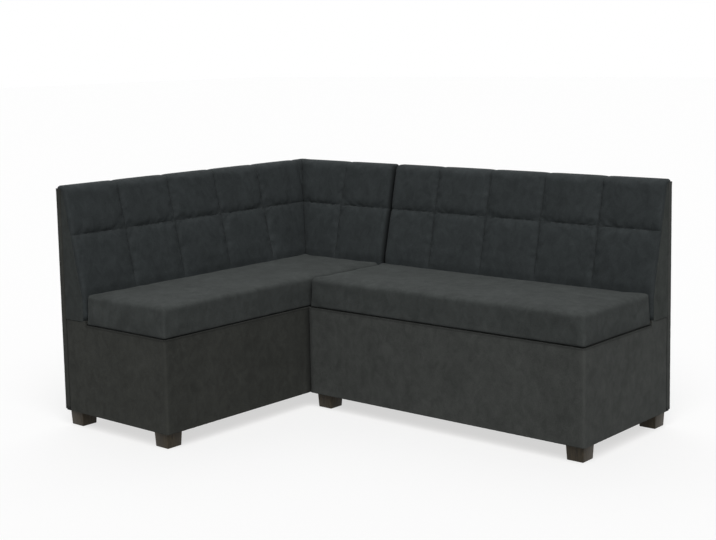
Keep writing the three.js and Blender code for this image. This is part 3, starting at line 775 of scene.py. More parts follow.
def swollen(name, outer, across, along, rows, seams, held_beyond):
    """The skin of a back after its cloth has swelled between the seams and edges that hold it."""
    sewn = np.zeros(across.shape, bool)
    for seam in seams:
        sewn |= abs(along - seam) < ON_SEAM
    sewn |= (abs(rows[:, 1] - TUFT_SEAM_HEIGHT) < ON_SEAM)[:, None]
    sewn |= ((rows[:, 1] <= RECLINE_START) | (rows[:, 2] <= OVER_TOP_SHARE))[:, None]
    sewn[:, : ROUND_STEPS + 1] = True
    sewn[:, -ROUND_STEPS - 1 :] = True
    sewn |= across > held_beyond
    room = clear_of_lid(rows[:, 1] - CLEAR_OF_LID) * BACK_CAP + BACK_CAP_LEAST
    sheet = new_object(name + "_cloth", outer.reshape(-1, 3), grid_faces(*sewn.shape))
    settle_cloth(sheet, sewn.ravel(), BACK_PRESSURE, BACK_GROWTH, np.repeat(room, len(along)))
    moved = coordinates(sheet).reshape(outer.shape)
    bpy.data.objects.remove(sheet)
    return moved


def from_inner_corner(p, name):
    """How far each point lies from the upright corner where the return back meets the left back."""
    far = np.full(len(p), LONG_FREE_END - SIDE_WALL)
    if name == "left_back":
        in_front = p[:, 0] - SIDE_WALL > BACK_TOP_DEPTH / 2
        return np.where(in_front, REAR_WALL - front_depth(p[:, 2]) - p[:, 1], far)
    if name == "return_back":
        return p[:, 0] - SIDE_WALL - front_depth(p[:, 2]) - TUFT_BULGE
    return far


def paint_crease_shade(obj, name, wing, seams, join):
    """Marks painted shade on the seams, the edge at the join and the inner corner, where the pile closes up
    and shade falls.
    """
    p = coordinates(obj)
    along = p[:, 1] if wing is side_wing else p[:, 0]
    level = abs(p[:, 2] - TUFT_SEAM_HEIGHT)
    strength = FAR_SHADE_SHARE + (1 - FAR_SHADE_SHARE) * near(level, CREASE_SHADE_FADE)
    upright = UPRIGHT_SHADE_SHARES[name] * strength * near(from_seams(along, seams), CREASE_SHADE_WIDTH)
    patches = ease(0.5 + uneven(p, LEVEL_SHADE_PATCHES))
    shades = [
        upright * clear_of_lid(p[:, 2]),
        LEVEL_SHADE_SHARE * patches * near(level, LEVEL_SHADE_WIDTH),
        JOIN_SHADE_SHARE * near(along - join, JOIN_SHADE) * (wing is rear_wing),
        CORNER_SHADE_SHARE * near(from_inner_corner(p, name), CORNER_SHADE),
    ]
    mark(obj, "crease", np.max(shades, axis=0))


def make_back(name, wing, seams, rounds, held_beyond=math.inf, butts=False):
    """One tufted back. The one that butts starts on the tufted face of the left back."""
    along = stations(seams, rounds)
    rows = section()
    depth, height = back_skin(along, rows, seams, rounds)
    across = np.broadcast_to(along, depth.shape)
    if butts:
        share = np.clip((seams[1] - across) / (seams[1] - seams[0]), 0, 1)
        across = across + share * (left_face(depth, height) - seams[0])
    outer = wing(across, depth, height)
    outer = swollen(name, outer, across, along, rows, seams, held_beyond)
    inner = [column[:, None] for column in inner_section(rows)]
    obj = close_skins(name + "_upholstery", outer, wing(across, *inner))
    # Painted shade in the seams, at the join and in the inner corner.
    paint_crease_shade(obj, name, wing, seams[1:-1], seams[0] if name == "right_back" else seams[-1])
    dress(obj, "frame", "back_fabric", [name + "_pad"])


def tuft_seams(start, way, end):
    """Seams one pitch apart from a free end, up to end."""
    seams = [start]
    while (end - seams[-1]) * way > 0:
        seams.append(seams[-1] + way * TUFT_PITCH)
    return seams


LEFT_SEAMS = tuft_seams(SHORT_FREE_END, 1, REAR_WALL - 2 * TUFT_PITCH) + [REAR_WALL - CORNER_SEAM, REAR_WALL]
RIGHT_SEAMS = [LONG_JOIN + JOIN_INSET] + tuft_seams(LONG_FREE_END, -1, LONG_JOIN + 1.5 * TUFT_PITCH)[::-1]
RETURN_SEAMS = [SIDE_WALL + BACK_TOP_DEPTH, RIGHT_SEAMS[1] - 2 * TUFT_PITCH, SHORT_JOIN - JOIN_INSET]


def make_backs():
    held = REAR_MOUTH - TUFT_REACH
    make_back("left_back", side_wing, LEFT_SEAMS, (FREE_END_ROUND, WALL_END_ROUND), held_beyond=held)
    make_back("right_back", rear_wing, RIGHT_SEAMS, (JOIN_END_ROUND, FREE_END_ROUND))
    make_back("return_back", rear_wing, RETURN_SEAMS, (CORNER_START_ROUND, JOIN_END_ROUND), butts=True)


def make_join_lining():
    """Dark fabric at the bottom of the gap between the return back and the right back."""
    depths, heights = (column[:, None] for column in inner_section(section()))
    to_wall = np.clip(depths / BACK_REAR_ROUND, 0, 1)
    along = np.array([JOIN - JOIN_LINING / 2, JOIN, JOIN + JOIN_LINING / 2])
    lifts = (2 * SKIN_GAP + WRAP, 2 * SKIN_GAP)
    skins = [rear_wing(along, depths + lift * to_wall, heights + lift) for lift in lifts]
    dress(close_skins("join_lining", *skins), "frame", "back_fabric")


# End covers of the backs, sewn to the pads at their edges.
def end_outline():
    """The front edge of an end cover: the back's section, drawn in by its rounded end."""
    rows = section()
    rows = rows[rows[:, 2] > 0]
    depths, heights = (rows[:, :2] - rows[:, 2:] * FREE_END_ROUND).T
    kept = depths > END_COVER_REAR
    depths, heights = depths[kept], heights[kept]
    low = np.linspace(BACK_BOTTOM - END_COVER_LAP, heights[0], 4)[:-1]
    front = np.concatenate([np.full(len(low), depths[0]), depths])
    return front[:, None], np.concatenate([low, heights])[:, None]


def make_end_cover(name, wing, end, way, finish):
    """The fabric on the free end of a back. way is the outward direction along the wing."""
    front, height = end_outline()
    depth = END_COVER_REAR + (front - END_COVER_REAR) * np.linspace(0, 1, END_COVER_STEPS)[None, :]
    to_edge = ease(np.minimum(front - depth, height[-1] - height) / END_COVER_EDGE)
    soft = uneven(wing(end, depth, height).reshape(-1, 3), END_COVER_WAVE).reshape(depth.shape)
    rise = END_COVER * (END_COVER_SHARE + (1 - END_COVER_SHARE) * to_edge)
    outer = wing(end + way * (SKIN_GAP + rise + soft * to_edge), depth, height)
    inner = wing(end + way * SKIN_GAP / 2, depth, height)
    obj = close_skins(name, outer, inner)
    dress(obj, "frame", "base_fabric", finish=finish)


def make_end_covers():
    # The end covers take copies of the velour painted darker on the left end and lighter on the right end,
    # for how the light falls on each.
    make_end_cover("left_back_end_cover", side_wing, SHORT_FREE_END, -1, "end_fabric")
    make_end_cover("right_back_end_cover", rear_wing, LONG_FREE_END, 1, "long_end_fabric")


# Stitches that draw the tufts in.
def scattered(name, shape, faces, frames):
    """One object of many copies of a small shape, one on each frame of a place and three axes."""
    points = []
    copies = []
    for place, axes in frames:
        copies += shifted(faces, len(points))
        points.extend(place + shape @ axes)
    return closed_object(name, points, copies)


def stitch_shape():
    """Rings of points round a short length of thread whose ends go into the fabric, and its faces."""
    points = []
    for place, full, lift in STITCH_RING_SHARES:
        for angle in 2 * math.pi * np.arange(STITCH_SIDES) / STITCH_SIDES:
            side, out = full * math.cos(angle), lift + full * math.sin(angle)
            points.append((place * STITCH_LENGTH, side * THREAD_RADIUS, out * THREAD_RADIUS))
    faces = grid_faces(len(STITCH_RING_SHARES), STITCH_SIDES, ring_columns=True)
    ring = range(STITCH_SIDES)
    faces.append(tuple(reversed(ring)))
    faces += shifted([ring], len(points) - STITCH_SIDES)
    return np.array(points), faces


def make_stitches(name, wing, seams, ends):
    """The thread of one back: its upright seams and its level seam."""
    out = wing(0.0, math.cos(LEAN), math.sin(LEAN)) - wing(0.0, 0.0, 0.0)
    heights = (RECLINE_START + CLEAR_OF_LID, BACK_TOP - BACK_FRONT_ROUND)
    lines = [[(seam, z) for z in heights] for seam in seams] + [[(end, TUFT_SEAM_HEIGHT) for end in ends]]
    frames = []
    for line in lines:
        start, end = (wing(along, front_depth(z), z) + out * THREAD_RADIUS for along, z in line)
        length = np.linalg.norm(end - start)
        way = (end - start) / length
        count = int(length / STITCH_PITCH)
        axes = np.array([way, np.cross(way, out), out])
        frames += [(start + way * (k + 0.5) * length / count, axes) for k in range(count)]
    dress(scattered(name, *stitch_shape(), frames), "frame", "back_fabric", finish="thread")


def make_all_stitches():
    inner = BACK_LOW_DEPTH + TUFT_REACH
    left = (SHORT_FREE_END + FREE_END_ROUND, REAR_WALL - inner)
    right = (RIGHT_SEAMS[0] + JOIN_END_ROUND, LONG_FREE_END - FREE_END_ROUND)
    back = (SIDE_WALL + inner, RETURN_SEAMS[-1] - JOIN_END_ROUND)
    make_stitches("left_back_stitches", side_wing, LEFT_SEAMS[1:-2], left)
    make_stitches("right_back_stitches", rear_wing, RIGHT_SEAMS[1:-1], right)
    make_stitches("return_back_stitches", rear_wing, RETURN_SEAMS[1:-1], back)


# Seat cushions.
def lattice(low, high, near_lines, far_lines):
    """Grid lines of a cage: support lines near both ends and even cells between."""
    inner_low, inner_high = low + near_lines[-1], high - far_lines[-1]
    middle = np.linspace(inner_low, inner_high, max(1, round((inner_high - inner_low) / SEAT_CELL)) + 1)
    near_lines = [low + line for line in near_lines[:-1]]
    far_lines = [high - line for line in far_lines[-2::-1]]
    return np.array([low, *near_lines, *middle, *far_lines, high])


def cage(*lines):
    """The surface of a block cut into cells by grid lines along x, y and z."""
    last = [len(line) - 1 for line in lines]
    index = {}
    faces = []
    for a, b, c in ((0, 1, 2), (0, 2, 1), (1, 2, 0)):
        for i, j, end in product(range(last[a]), range(last[b]), (0, last[c])):
            way = 1 if (end > 0) != (c == 1) else -1
            face = []
            for u, v in ((0, 0), *((1, 0), (1, 1), (0, 1))[::way]):
                place = [end] * 3
                place[a], place[b] = i + u, j + v
                face.append(index.setdefault(tuple(place), len(index)))
            faces.append(tuple(face))
    return np.array([[line[k] for line, k in zip(lines, place)] for place in index]), faces


def bake_modifiers(obj):
    """Makes the modified mesh the object's own."""
    made = bpy.data.meshes.new_from_object(evaluated(obj))
    obj.modifiers.clear()
    obj.data = made


def carve(obj, boxes):
    """Cuts boxes, as pairs of corners, out of obj."""
    cutters = [new_object("cutter", *cage(*np.transpose(box))) for box in boxes]
    for cutter in cutters:
        modifier = obj.modifiers.new("carve", "BOOLEAN")
        modifier.operation = "DIFFERENCE"
        modifier.solver = "EXACT"
        modifier.object = cutter
    bake_modifiers(obj)
    for cutter in cutters:
        bpy.data.objects.remove(cutter)


def squeezed(a, b):
    """Maps the square past a corner's centre onto its quarter disc."""
    share = np.maximum(a, b) / np.maximum(np.hypot(a, b), TOUCH)
    return a * share, b * share


def seat_sides(p, low, high):
    """The cushion's middle and half sizes in plan, and each point's distance and side from the middle."""
    middle = np.array([low.x + high.x, low.y + high.y]) / 2
    half = np.array([high.x - low.x, high.y - low.y]) / 2
    place = p[:, :2] - middle
    return middle, half, abs(place), np.where(place < 0, -1, 1)


def round_upright_edges(p, low, high, name):
    """Rounds a block's upright edges, less at the board than above, and least on the hinge side."""
    middle, half, place, side = seat_sides(p, low, high)
    hinge = side[:, 0] < 0 if name == "short" else side[:, 1] > 0
    rise = ease((p[:, 2] - low.z) / (high.z - low.z))
    soft = SEAT_CORNER[0] + (SEAT_CORNER[1] - SEAT_CORNER[0]) * rise
    tight = SEAT_REAR_CORNER[0] + (SEAT_REAR_CORNER[1] - SEAT_REAR_CORNER[0]) * rise**3
    radius = np.where(hinge, tight, soft)[:, None]
    over = np.maximum(place - (half - radius), 0)
    cornered = (over > 0).all(axis=1)[:, None]
    moved = np.where(cornered, half - radius + np.column_stack(squeezed(*over.T)), place)
    p[:, :2] = middle + side * moved
    return radius


def edge_round(p, low, high, name):
    """The radius of a cushion's top edge at each point: smaller towards the hinge side."""
    from_hinge = p[:, 0] - low.x if name == "short" else high.y - p[:, 1]
    share = ease((from_hinge - SEAT_TOP_ROUND) / (2 * SEAT_TOP_ROUND))
    return SEAT_REAR_ROUND + (SEAT_TOP_ROUND - SEAT_REAR_ROUND) * share


def round_level_edge(p, low, high, radius, depth, edge):
    """Rounds the edge between the sides and the face depth away from each point. Returns the new depth."""
    _, half, place, side = seat_sides(p, low, high)
    over = place - (half - radius)
    reach = np.maximum(np.hypot(*np.maximum(over, 0).T), TOUCH)
    cornered = (over > 0).all(axis=1)
    inside = radius[:, 0] - np.where(cornered, reach, over.max(axis=1))
    nearest = np.column_stack([over[:, 0] >= over[:, 1], over[:, 1] > over[:, 0]])
    way = np.where(cornered[:, None], over / reach[:, None], nearest) * side
    a, b = np.maximum(edge - inside, 0), np.maximum(edge - depth, 0)
    near_a, near_b = squeezed(a, b)
    at_edge = (a > 0) & (b > 0)
    p[:, :2] -= way * np.where(at_edge, a - near_a, 0)[:, None]
    return np.where(at_edge, edge - near_b, depth)


def seat_block(name, low, high):
    """A cushion's block with its edges rounded."""
    sides = [lattice(low[k], high[k], SEAT_EDGE_LINES, SEAT_EDGE_LINES) for k in (0, 1)]
    zs = lattice(low.z, high.z, [SEAT_LOW_ROUND, 2 * SEAT_LOW_ROUND], SEAT_EDGE_LINES)
    p, faces = cage(*sides, zs)
    radius = round_upright_edges(p, low, high, name)
    top = round_level_edge(p, low, high, radius, high.z - p[:, 2], edge_round(p, low, high, name))
    foot = round_level_edge(p, low, high, radius, p[:, 2] - low.z, SEAT_LOW_ROUND)
    p[:, 2] = np.where(p[:, 2] > (low.z + high.z) / 2, high.z - top, low.z + foot)
    return closed_object(name + "_upholstery", p, faces)


def shape_seat(obj, low, high):
    """Crowns the top, draws the sides in between their corners and adds the slight unevenness of foam."""
    p = coordinates(obj)
    u = (p[:, 0] - low.x) / (high.x - low.x) * 2 - 1
    v = (p[:, 1] - low.y) / (high.y - low.y) * 2 - 1
    rise = ease((p[:, 2] - low.z) / (high.z - low.z))
    crown = np.clip(1 - u**4, 0, 1) * np.clip(1 - v**2, 0, 1)
    p[:, 2] += SEAT_CROWN_FIRST * crown * rise
    from_half = abs(2 * np.clip((p[:, 2] - low.z) / (high.z - low.z), 0, 1) - 1)
    p[:, 0] -= np.sign(u) * abs(u) ** 8 * SEAT_SIDE_DRAW * (1 - v**2) * from_half
    p[:, 1] -= np.sign(v) * abs(v) ** 8 * SEAT_SIDE_DRAW * (1 - u**2) * from_half
    p[:, 2] += uneven(p, SEAT_FOAM) * rise
    set_coordinates(obj, p)


def facing_join(p, name, fade):
    """How far each point lies on the side that faces the other seat, from 0 to 1."""
    low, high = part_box(name + "_seat_cushion")
    from_side = high.x - p[:, 0] if name == "short" else p[:, 0] - low.x
    return near(from_side, SEAT_TOP_ROUND) * ease((p[:, 1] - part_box("long_seat_cushion")[0].y) / fade)


def fit_seat(obj, name):
    """Adds the cover's fine unevenness, keeps the cushion in its solid's box, and swells the side that
    presses against the other seat."""
    low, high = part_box(name + "_seat_cushion")
    p = coordinates(obj)
    _, half, place, _ = seat_sides(p, low, high)
    at_edge = near((half - place).min(axis=1) - SEAT_TOP_ROUND / 2, SEAT_TOP_ROUND / 2)
    fine = sum(uneven(p, wave) for wave in SEAT_COVER_WAVES) + at_edge * uneven(p, SEAT_CREASE)
    p[:, 2] += fine * ease((p[:, 2] - low.z) / SEAT_COVER_RISE)
    least = [low.x + SEAT_SLACK, low.y + SEAT_SLACK, low.z - SEAT_HANG]
    p = np.clip(p, least, [high.x - SEAT_SLACK, high.y - SEAT_SLACK, high.z + SEAT_TOP_SLACK])
    rise = ease((p[:, 2] - low.z) / (high.z - low.z))
    way = 1 if name == "short" else -1
    p[:, 0] += way * SEAT_JOIN_SWELL * facing_join(p, name, SEAT_TOP_ROUND) * rise
    set_coordinates(obj, p)


def recess_seat(obj, name):
    """Cuts the room for the lid board and the hinges into the underside."""
    low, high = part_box(name + "_lid_board")
    fit = Vector((SKIN_GAP, SKIN_GAP, SKIN_GAP))
    boxes = [(low - fit - Vector((0, 0, RECESS_BELOW)), high + fit)]
    for number in ("1", "2"):
        parts = (f"{name}_hinge_{number}_{part}" for part in ("lid_leaf", "pin", "fixed_leaf"))
        lows, highs = zip(*map(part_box, parts))
        low = Vector(map(min, *lows)) - Vector((RECESS_SIDE, RECESS_SIDE, RECESS_BELOW))
        high = Vector(map(max, *highs[1:])) + Vector((RECESS_SIDE, RECESS_SIDE, RECESS_ABOVE))
        boxes.append((low, high))
    carve(obj, boxes)


def paint_seat_shade(obj, name, low):
    """Marks painted shade on the foot of the cushion at the lid line and on the side that faces the other
    seat.
    """
    p = coordinates(obj)
    foot = LID_SHADE_SHARE * near(p[:, 2] - low.z, LID_SHADE)
    below_top = 1 - ease((p[:, 2] - SEAT_TOP_LINE) / SEAT_TOP_ROUND)
    mark(obj, "crease", np.maximum(foot, FACING_SHADE_SHARE * facing_join(p, name, FACING_FADE) * below_top))


def bend_seat(obj, name):
    """Bakes the seat's placement into its mesh."""
    low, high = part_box(name + "_seat_cushion")
    start, way = (low.x, 0), (1, 0)
    if name == "long":
        start, way = (0, high.y), (0, -1)
    start = Vector((*start, high.z - SEAT_CROWN))
    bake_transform(obj)


def make_seat(name):
    """One seat cushion, inside its solid's box."""
    low, high = (Vector(corner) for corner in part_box(name + "_seat_cushion"))
    low += Vector((SEAT_START_INSET, SEAT_START_INSET, -SEAT_HANG))
    high -= Vector((SEAT_START_INSET, SEAT_START_INSET, SEAT_CROWN))
    obj = seat_block(name, low, high)
    shape_seat(obj, low, high)
    held = coordinates(obj)[:, 2] < low.z + SEAT_LOW_ROUND
    settle_cloth(obj, held, SEAT_PRESSURE, SEAT_GROWTH, SEAT_CAP)
    modifier = obj.modifiers.new("smooth", "SUBSURF")
    modifier.levels = modifier.render_levels = 1
    bake_modifiers(obj)
    fit_seat(obj, name)
    recess_seat(obj, name)
    # Painted highlights on the upright corners.
    paint_corner_highlights(obj, low, high, SEAT_HIGHLIGHT_SHARE)
    # Painted shade at the lid line and on the side that faces the other seat.
    paint_seat_shade(obj, name, low)
    dress(obj, None, "seat_fabric", [name + "_seat_cushion"])
    bend_seat(obj, name)


# Chest covers.
def outline(low, high, corner, step, marks=()):
    """Points and outward directions round a box with rounded corners, with a pair of points at each mark."""
    right, left, front, rear = high.x - corner, low.x + corner, low.y + corner, high.y - corner
    centres = np.array([(right, front), (right, rear), (left, rear), (left, front)])
    points = []
    normals = []
    for i, centre in enumerate(centres):
        for k in range(ROUND_STEPS + 1):
            angle = math.radians(90 * (i - 1) + 90 * k / ROUND_STEPS)
            way = np.array([math.cos(angle), math.sin(angle)])
            normals.append(way)
            points.append(centre + corner * way)
        begin, side = points[-1], centres[(i + 1) % 4] - centre
        length = np.linalg.norm(side)
        side = side / length
        count = max(2, round(length / step))
        places = list(np.linspace(0, length, count + 1)[1:-1])
        for spot in marks:
            along = np.dot(spot - begin, side)
            off = np.linalg.norm(spot - begin - along * side)
            if 0 < along < length and off < ON_SIDE:
                places += [along - MARK_WIDTH, along + MARK_WIDTH]
        for place in sorted(places):
            points.append(begin + side * place)
            normals.append(way)
    return np.array(points), np.array(normals)


def make_chest_cover(name, tall, marks):
    """The fabric round one chest. tall tells where it rises beside the backs."""
    low, high = CHESTS[name]
    ring, way = outline(low, high, COVER_CORNER, COVER_STEP, marks)
    tops = np.where(tall(ring), high.z, MOUTH_TOP)
    even = np.linspace(*COVER_EVEN_SHARES, int((MOUTH_TOP - low.z) / COVER_ROW))
    rows = []
    for share in (*COVER_LOW_SHARES, *even, *COVER_HIGH_SHARES):
        z = low.z + (tops - low.z) * share
        to_rim = np.minimum(z - low.z, tops - z)
        roll = RIM_DRAW * (1 - np.sqrt(1 - (1 - np.clip(to_rim / RIM_ROLL, 0, 1)) ** 2))
        base = np.column_stack([ring, z])
        soft = sum(uneven(base, wave) for wave in COVER_WAVES) * ease(to_rim / COVER_FADE)
        gather = np.sin(2 * math.pi * (ring[:, 0] + ring[:, 1]) / PUCKER_PITCH + uneven(base, PUCKER_DRIFT))
        fade = 1 - ease((z - low.z) / PUCKER_HEIGHT)
        strength = np.clip(0.5 + uneven(base, PUCKER_PATCHES), 0, 1)
        out = COVER_WANDER * soft + PUCKER * gather * fade * strength - roll
        rows.append(np.column_stack([ring + way * out[:, None], z]))
    for z in (tops, np.full(len(ring), low.z)):
        rows.append(np.column_stack([ring - way * COVER_THICKNESS, z]))
    faces = grid_faces(len(rows), len(ring), True, True)
    obj = closed_object(name + "_base_upholstery", np.concatenate(rows), faces)
    # Painted highlights on the upright corners.
    paint_corner_highlights(obj, low, high, BASE_HIGHLIGHT_SHARE)
    p = coordinates(obj)
    # Painted shade along the lid line and where the two chests meet.
    at_lid = near(p[:, 2] - MOUTH_TOP, LID_SHADE) * ~tall(p)
    at_join = near(np.hypot(p[:, 0] - JOIN, p[:, 1] - CHESTS["long"][0].y), CHEST_JOIN_SHADE)
    mark(obj, "crease", LID_SHADE_SHARE * np.maximum(at_lid, at_join))
    # The long chest takes a copy of the base velour painted lighter, for the stronger light on it.
    finish = "long_base_fabric" if name == "long" else "base_fabric"
    dress(obj, "frame", "base_fabric", [name + "_base_cover"], finish=finish)


def make_chest_covers():
    low, high = CHESTS["short"]
    marks = [(SIDE_MOUTH, low.y), (high.x, REAR_MOUTH)]
    make_chest_cover("short", lambda p: (p[:, 0] < SIDE_MOUTH) | (p[:, 1] > REAR_MOUTH), marks)
    marks = [(corner.x, REAR_MOUTH) for corner in CHESTS["long"]]
    make_chest_cover("long", lambda p: p[:, 1] > REAR_MOUTH, marks)


# Lid boards, with the cushion's fabric turned under them and stapled.
def make_lid_wrap(name, low, high):
    """The fabric margin round a lid board: down its edge and in under it."""
    ring, way = outline(low, high, WRAP_CORNER, WRAP_STEP)

    def level(height, inset=0, ring=ring):
        drawn = np.clip(ring, [low.x + inset, low.y + inset], [high.x - inset, high.y - inset])
        return np.column_stack([drawn, np.broadcast_to(height, len(ring))])

    pucker = WRAP_PUCKER * (np.clip(uneven(level(low.z), WRAP_GATHER), -1, 1) * 0.5 + 0.5)
    rows = [level(high.z), level(low.z + WRAP_EDGE)]
    for k in range(1, 4):
        angle = math.pi / 2 * k / 4
        height = low.z + WRAP_EDGE * (1 - math.sin(angle))
        rows.append(level(height, ring=ring - way * WRAP_EDGE * (1 - math.cos(angle))))
    rows.append(level(low.z, WRAP_EDGE))
    rows += [level(low.z + pucker * share, WRAP_WIDTH * share) for share in WRAP_SHARES]
    rows += [
        level(low.z + pucker + WRAP / 3, WRAP_WIDTH),
        level(low.z + WRAP + WRAP_PUCKER, WRAP_WIDTH),
        level(low.z + WRAP + WRAP_PUCKER, WRAP_EDGE),
        level(low.z + WRAP_EDGE, WRAP),
        level(high.z, WRAP),
    ]
    faces = grid_faces(len(rows), len(ring), True, True)
    dress(closed_object(name + "_lid_wrap", np.concatenate(rows), faces), name + "_lid", "seat_fabric")


def make_lid_panel(name, low, high):
    """The plywood board inside the fabric margin."""
    corners = (low + Vector((WRAP, WRAP, WRAP + WRAP_PUCKER)), high - Vector((WRAP, WRAP, 0)))
    obj = closed_object(name + "_lid_panel", *cage(*np.transpose(corners)))
    bevel(obj, PANEL_BEVEL, 2)
    finish = "short_plywood" if name == "short" else "plywood"
    dress(obj, name + "_lid", "plywood", [name + "_lid_board"], smooth=False, finish=finish)


def make_lid_staples(name, low, high):
    """Staples that hold the margin, a little skewed, along all four sides."""
    x0, x1, y0, y1 = low.x + STAPLE_LINE, high.x - STAPLE_LINE, low.y + STAPLE_LINE, high.y - STAPLE_LINE
    height = low.z + STAPLE[2] / 2
    corners = [np.array([x, y, height]) for x, y in ((x0, y0), (x1, y0), (x1, y1), (x0, y1))]
    frames = []
    for a, b in zip(corners, corners[1:] + corners[:1]):
        count = round(np.linalg.norm(b - a) / STAPLE_PITCH)
        for k in range(count):
            place = a + (b - a) * (k + 0.5) / count
            turn = math.atan2(*(b - a)[1::-1]) + noise.noise(Vector((*place[:2], 0)) / STAPLE_PITCH * 3)
            frames.append((place, np.array(Matrix.Rotation(turn, 3, "Z")).T))
    obj = scattered(name + "_lid_staples", *cage(*[(-s / 2, s / 2) for s in STAPLE]), frames)
    dress(obj, name + "_lid", "steel", smooth=False)


def make_lids():
    for name in ("short", "long"):
        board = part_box(name + "_lid_board")
        make_lid_wrap(name, *board)
        make_lid_panel(name, *board)
        make_lid_staples(name, *board)


# The fabric folded over the mouth of a chest and down inside it.
def fold_section(inner):
    """Points of the fold's section as (distance in from the cover's face, height over the chest's top)."""
    return [
        (COVER_THICKNESS - FOLD, -RIM_ROLL),
        (COVER_THICKNESS - FOLD, -FOLD / 2),
        (COVER_THICKNESS, FOLD / 2),
        (COVER_THICKNESS + FOLD, FOLD),
        (FOLD_THICK_WIDTH, FOLD),
        (FOLD_THICK_WIDTH + FOLD, FOLD_PRESSED),
        (inner - FOLD, FOLD_PRESSED),
        (inner + FOLD, -FOLD),
        (inner + FOLD, -FOLD_DROP / 2),
        (inner + FOLD, -FOLD_DROP),
        (inner + TOUCH, -FOLD_DROP),
        (inner + TOUCH, TOUCH),
        (COVER_THICKNESS - TOUCH, TOUCH),
        (COVER_THICKNESS - TOUCH, -RIM_ROLL),
    ]


def divided(corners, counts):
    """Points along a path, each stretch cut into as many as its count."""
    points = [corners[0]]
    for a, b, count in zip(corners, corners[1:], counts):
        points += [a + (b - a) * (k + 1) / count for k in range(count)]
    return np.array(points)


def fold_path(corners, inset):
    """Points along an open path of square corners, drawn in by inset to its left, with mitred corners."""
    sides = np.diff(corners, axis=0)
    lengths = np.linalg.norm(sides, axis=1)[:, None]
    ways = sides / lengths
    lefts = np.column_stack([-ways[:, 1], ways[:, 0]])
    moved = corners + inset * np.concatenate([lefts[:1], lefts[:-1] + lefts[1:], lefts[-1:]])
    return divided(moved, [round(float(length) / FOLD_STEP) for length in lengths[:, 0]])


def make_mouth_fold(name, corners):
    """One fold along the free sides of a chest's mouth."""
    inner = CHESTS["short"][1].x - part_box("short_front_panel")[0].x
    rows = []
    for inset, height in fold_section(inner):
        points = fold_path(np.array(corners), inset)
        places = np.column_stack([points, np.full(len(points), MOUTH_TOP + height)])
        if height < -FOLD_DROP / 3:
            places[:, 2] += uneven(places, FOLD_PUCKER)
        rows.append(places)
    count = len(rows[0])
    faces = grid_faces(len(rows), count, ring_rows=True)
    faces.append(tuple(r * count for r in range(len(rows))))
    faces.append(tuple(r * count + count - 1 for r in reversed(range(len(rows)))))
    obj = closed_object(name, np.concatenate(rows), faces)
    # Painted shade along the lid line.
    mark(obj, "crease", LID_SHADE_SHARE * near(coordinates(obj)[:, 2] - MOUTH_TOP, LID_SHADE))
    dress(obj, "frame", "base_fabric", smooth=False)


def make_mouth_folds():
    side, rear = SIDE_MOUTH + TOUCH, REAR_MOUTH - TOUCH
    low, high = CHESTS["short"]
    make_mouth_fold("short_mouth_fold", [(side, low.y), (high.x, low.y), (high.x, rear)])
    low, high = CHESTS["long"]
    make_mouth_fold("long_mouth_fold", [(low.x, rear), (low.x, low.y), (high.x, low.y), (high.x, rear)])


def make_ledge_strip(name, wing, start, end):
    """The fabric on the front edge of a ledge board and back over its top, under the foot of its back."""
    face = BACK_LOW_DEPTH + TOUCH
    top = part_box("long_ledge_board")[1].z + TOUCH
    outer = [
        (face + 2 * TOUCH, MOUTH_TOP + TOUCH),
        (face + FOLD_PRESSED, MOUTH_TOP + 2 * FOLD),
        (face + FOLD_PRESSED, top - FOLD),
        (face, top + FOLD_PRESSED),
        (face - LEDGE_LIP, top + FOLD_PRESSED),
    ]
    inner = [(face, height) for _, height in outer[:3]] + [(face, top), (face - LEDGE_LIP, top)]
    along = np.linspace(start, end, max(2, round(abs(end - start) / FOLD_STEP)))
    skins = [wing(along, *np.array(rows).T[:, :, None]) for rows in (outer, inner)]
    dress(close_skins(name, *skins), "frame", "base_fabric", smooth=False)


def make_ledge_strips():
    make_ledge_strip("short_ledge_strip", side_wing, SHORT_FREE_END + TOUCH, REAR_MOUTH - FOLD)
    make_ledge_strip("return_ledge_strip", rear_wing, SIDE_MOUTH, SHORT_JOIN - FOLD)
    make_ledge_strip("long_ledge_strip", rear_wing, LONG_JOIN + FOLD, LONG_FREE_END - TOUCH)


# Rear cloth, drawn over the rears of chest and back and sewn down in a hem on the free end.
def path_points(corners):
    """A path through corners, rounded, as points and outward directions (to the right of the way)."""
    places = [corners[0]]
    for before, corner, after in zip(corners, corners[1:], corners[2:]):
        start = corner + (before - corner) / np.linalg.norm(before - corner) * REAR_CLOTH_ROUND
        end = corner + (after - corner) / np.linalg.norm(after - corner) * REAR_CLOTH_ROUND
        for t in np.arange(ROUND_STEPS + 1) / ROUND_STEPS:
            places.append((1 - t) ** 2 * start + 2 * t * (1 - t) * corner + t**2 * end)
    places.append(corners[-1])
    lengths = np.linalg.norm(np.diff(places, axis=0), axis=1)
    points = divided(places, [max(1, round(float(length) / REAR_CLOTH_STEP)) for length in lengths])
    way = np.gradient(points, axis=0)
    way /= np.linalg.norm(way, axis=1)[:, None]
    return points, np.column_stack([way[:, 1], -way[:, 0]])


def cloth_stations(run, hem_at_start):
    """Places along the cloth: close together in the hem and round corners, and even between."""
    even = np.arange(HEM_FINE_WIDTH + REAR_CLOTH_STEP, run[-1], REAR_CLOTH_STEP)
    places = np.concatenate([np.linspace(0, HEM_FINE_WIDTH, HEM_FINE_POINTS), even, [run[-1]]])
    if not hem_at_start:
        places = run[-1] - places
    corners = run[:-1][np.diff(run) < REAR_CLOTH_CLOSE]
    return np.unique(np.round(np.concatenate([places, corners]), 5))


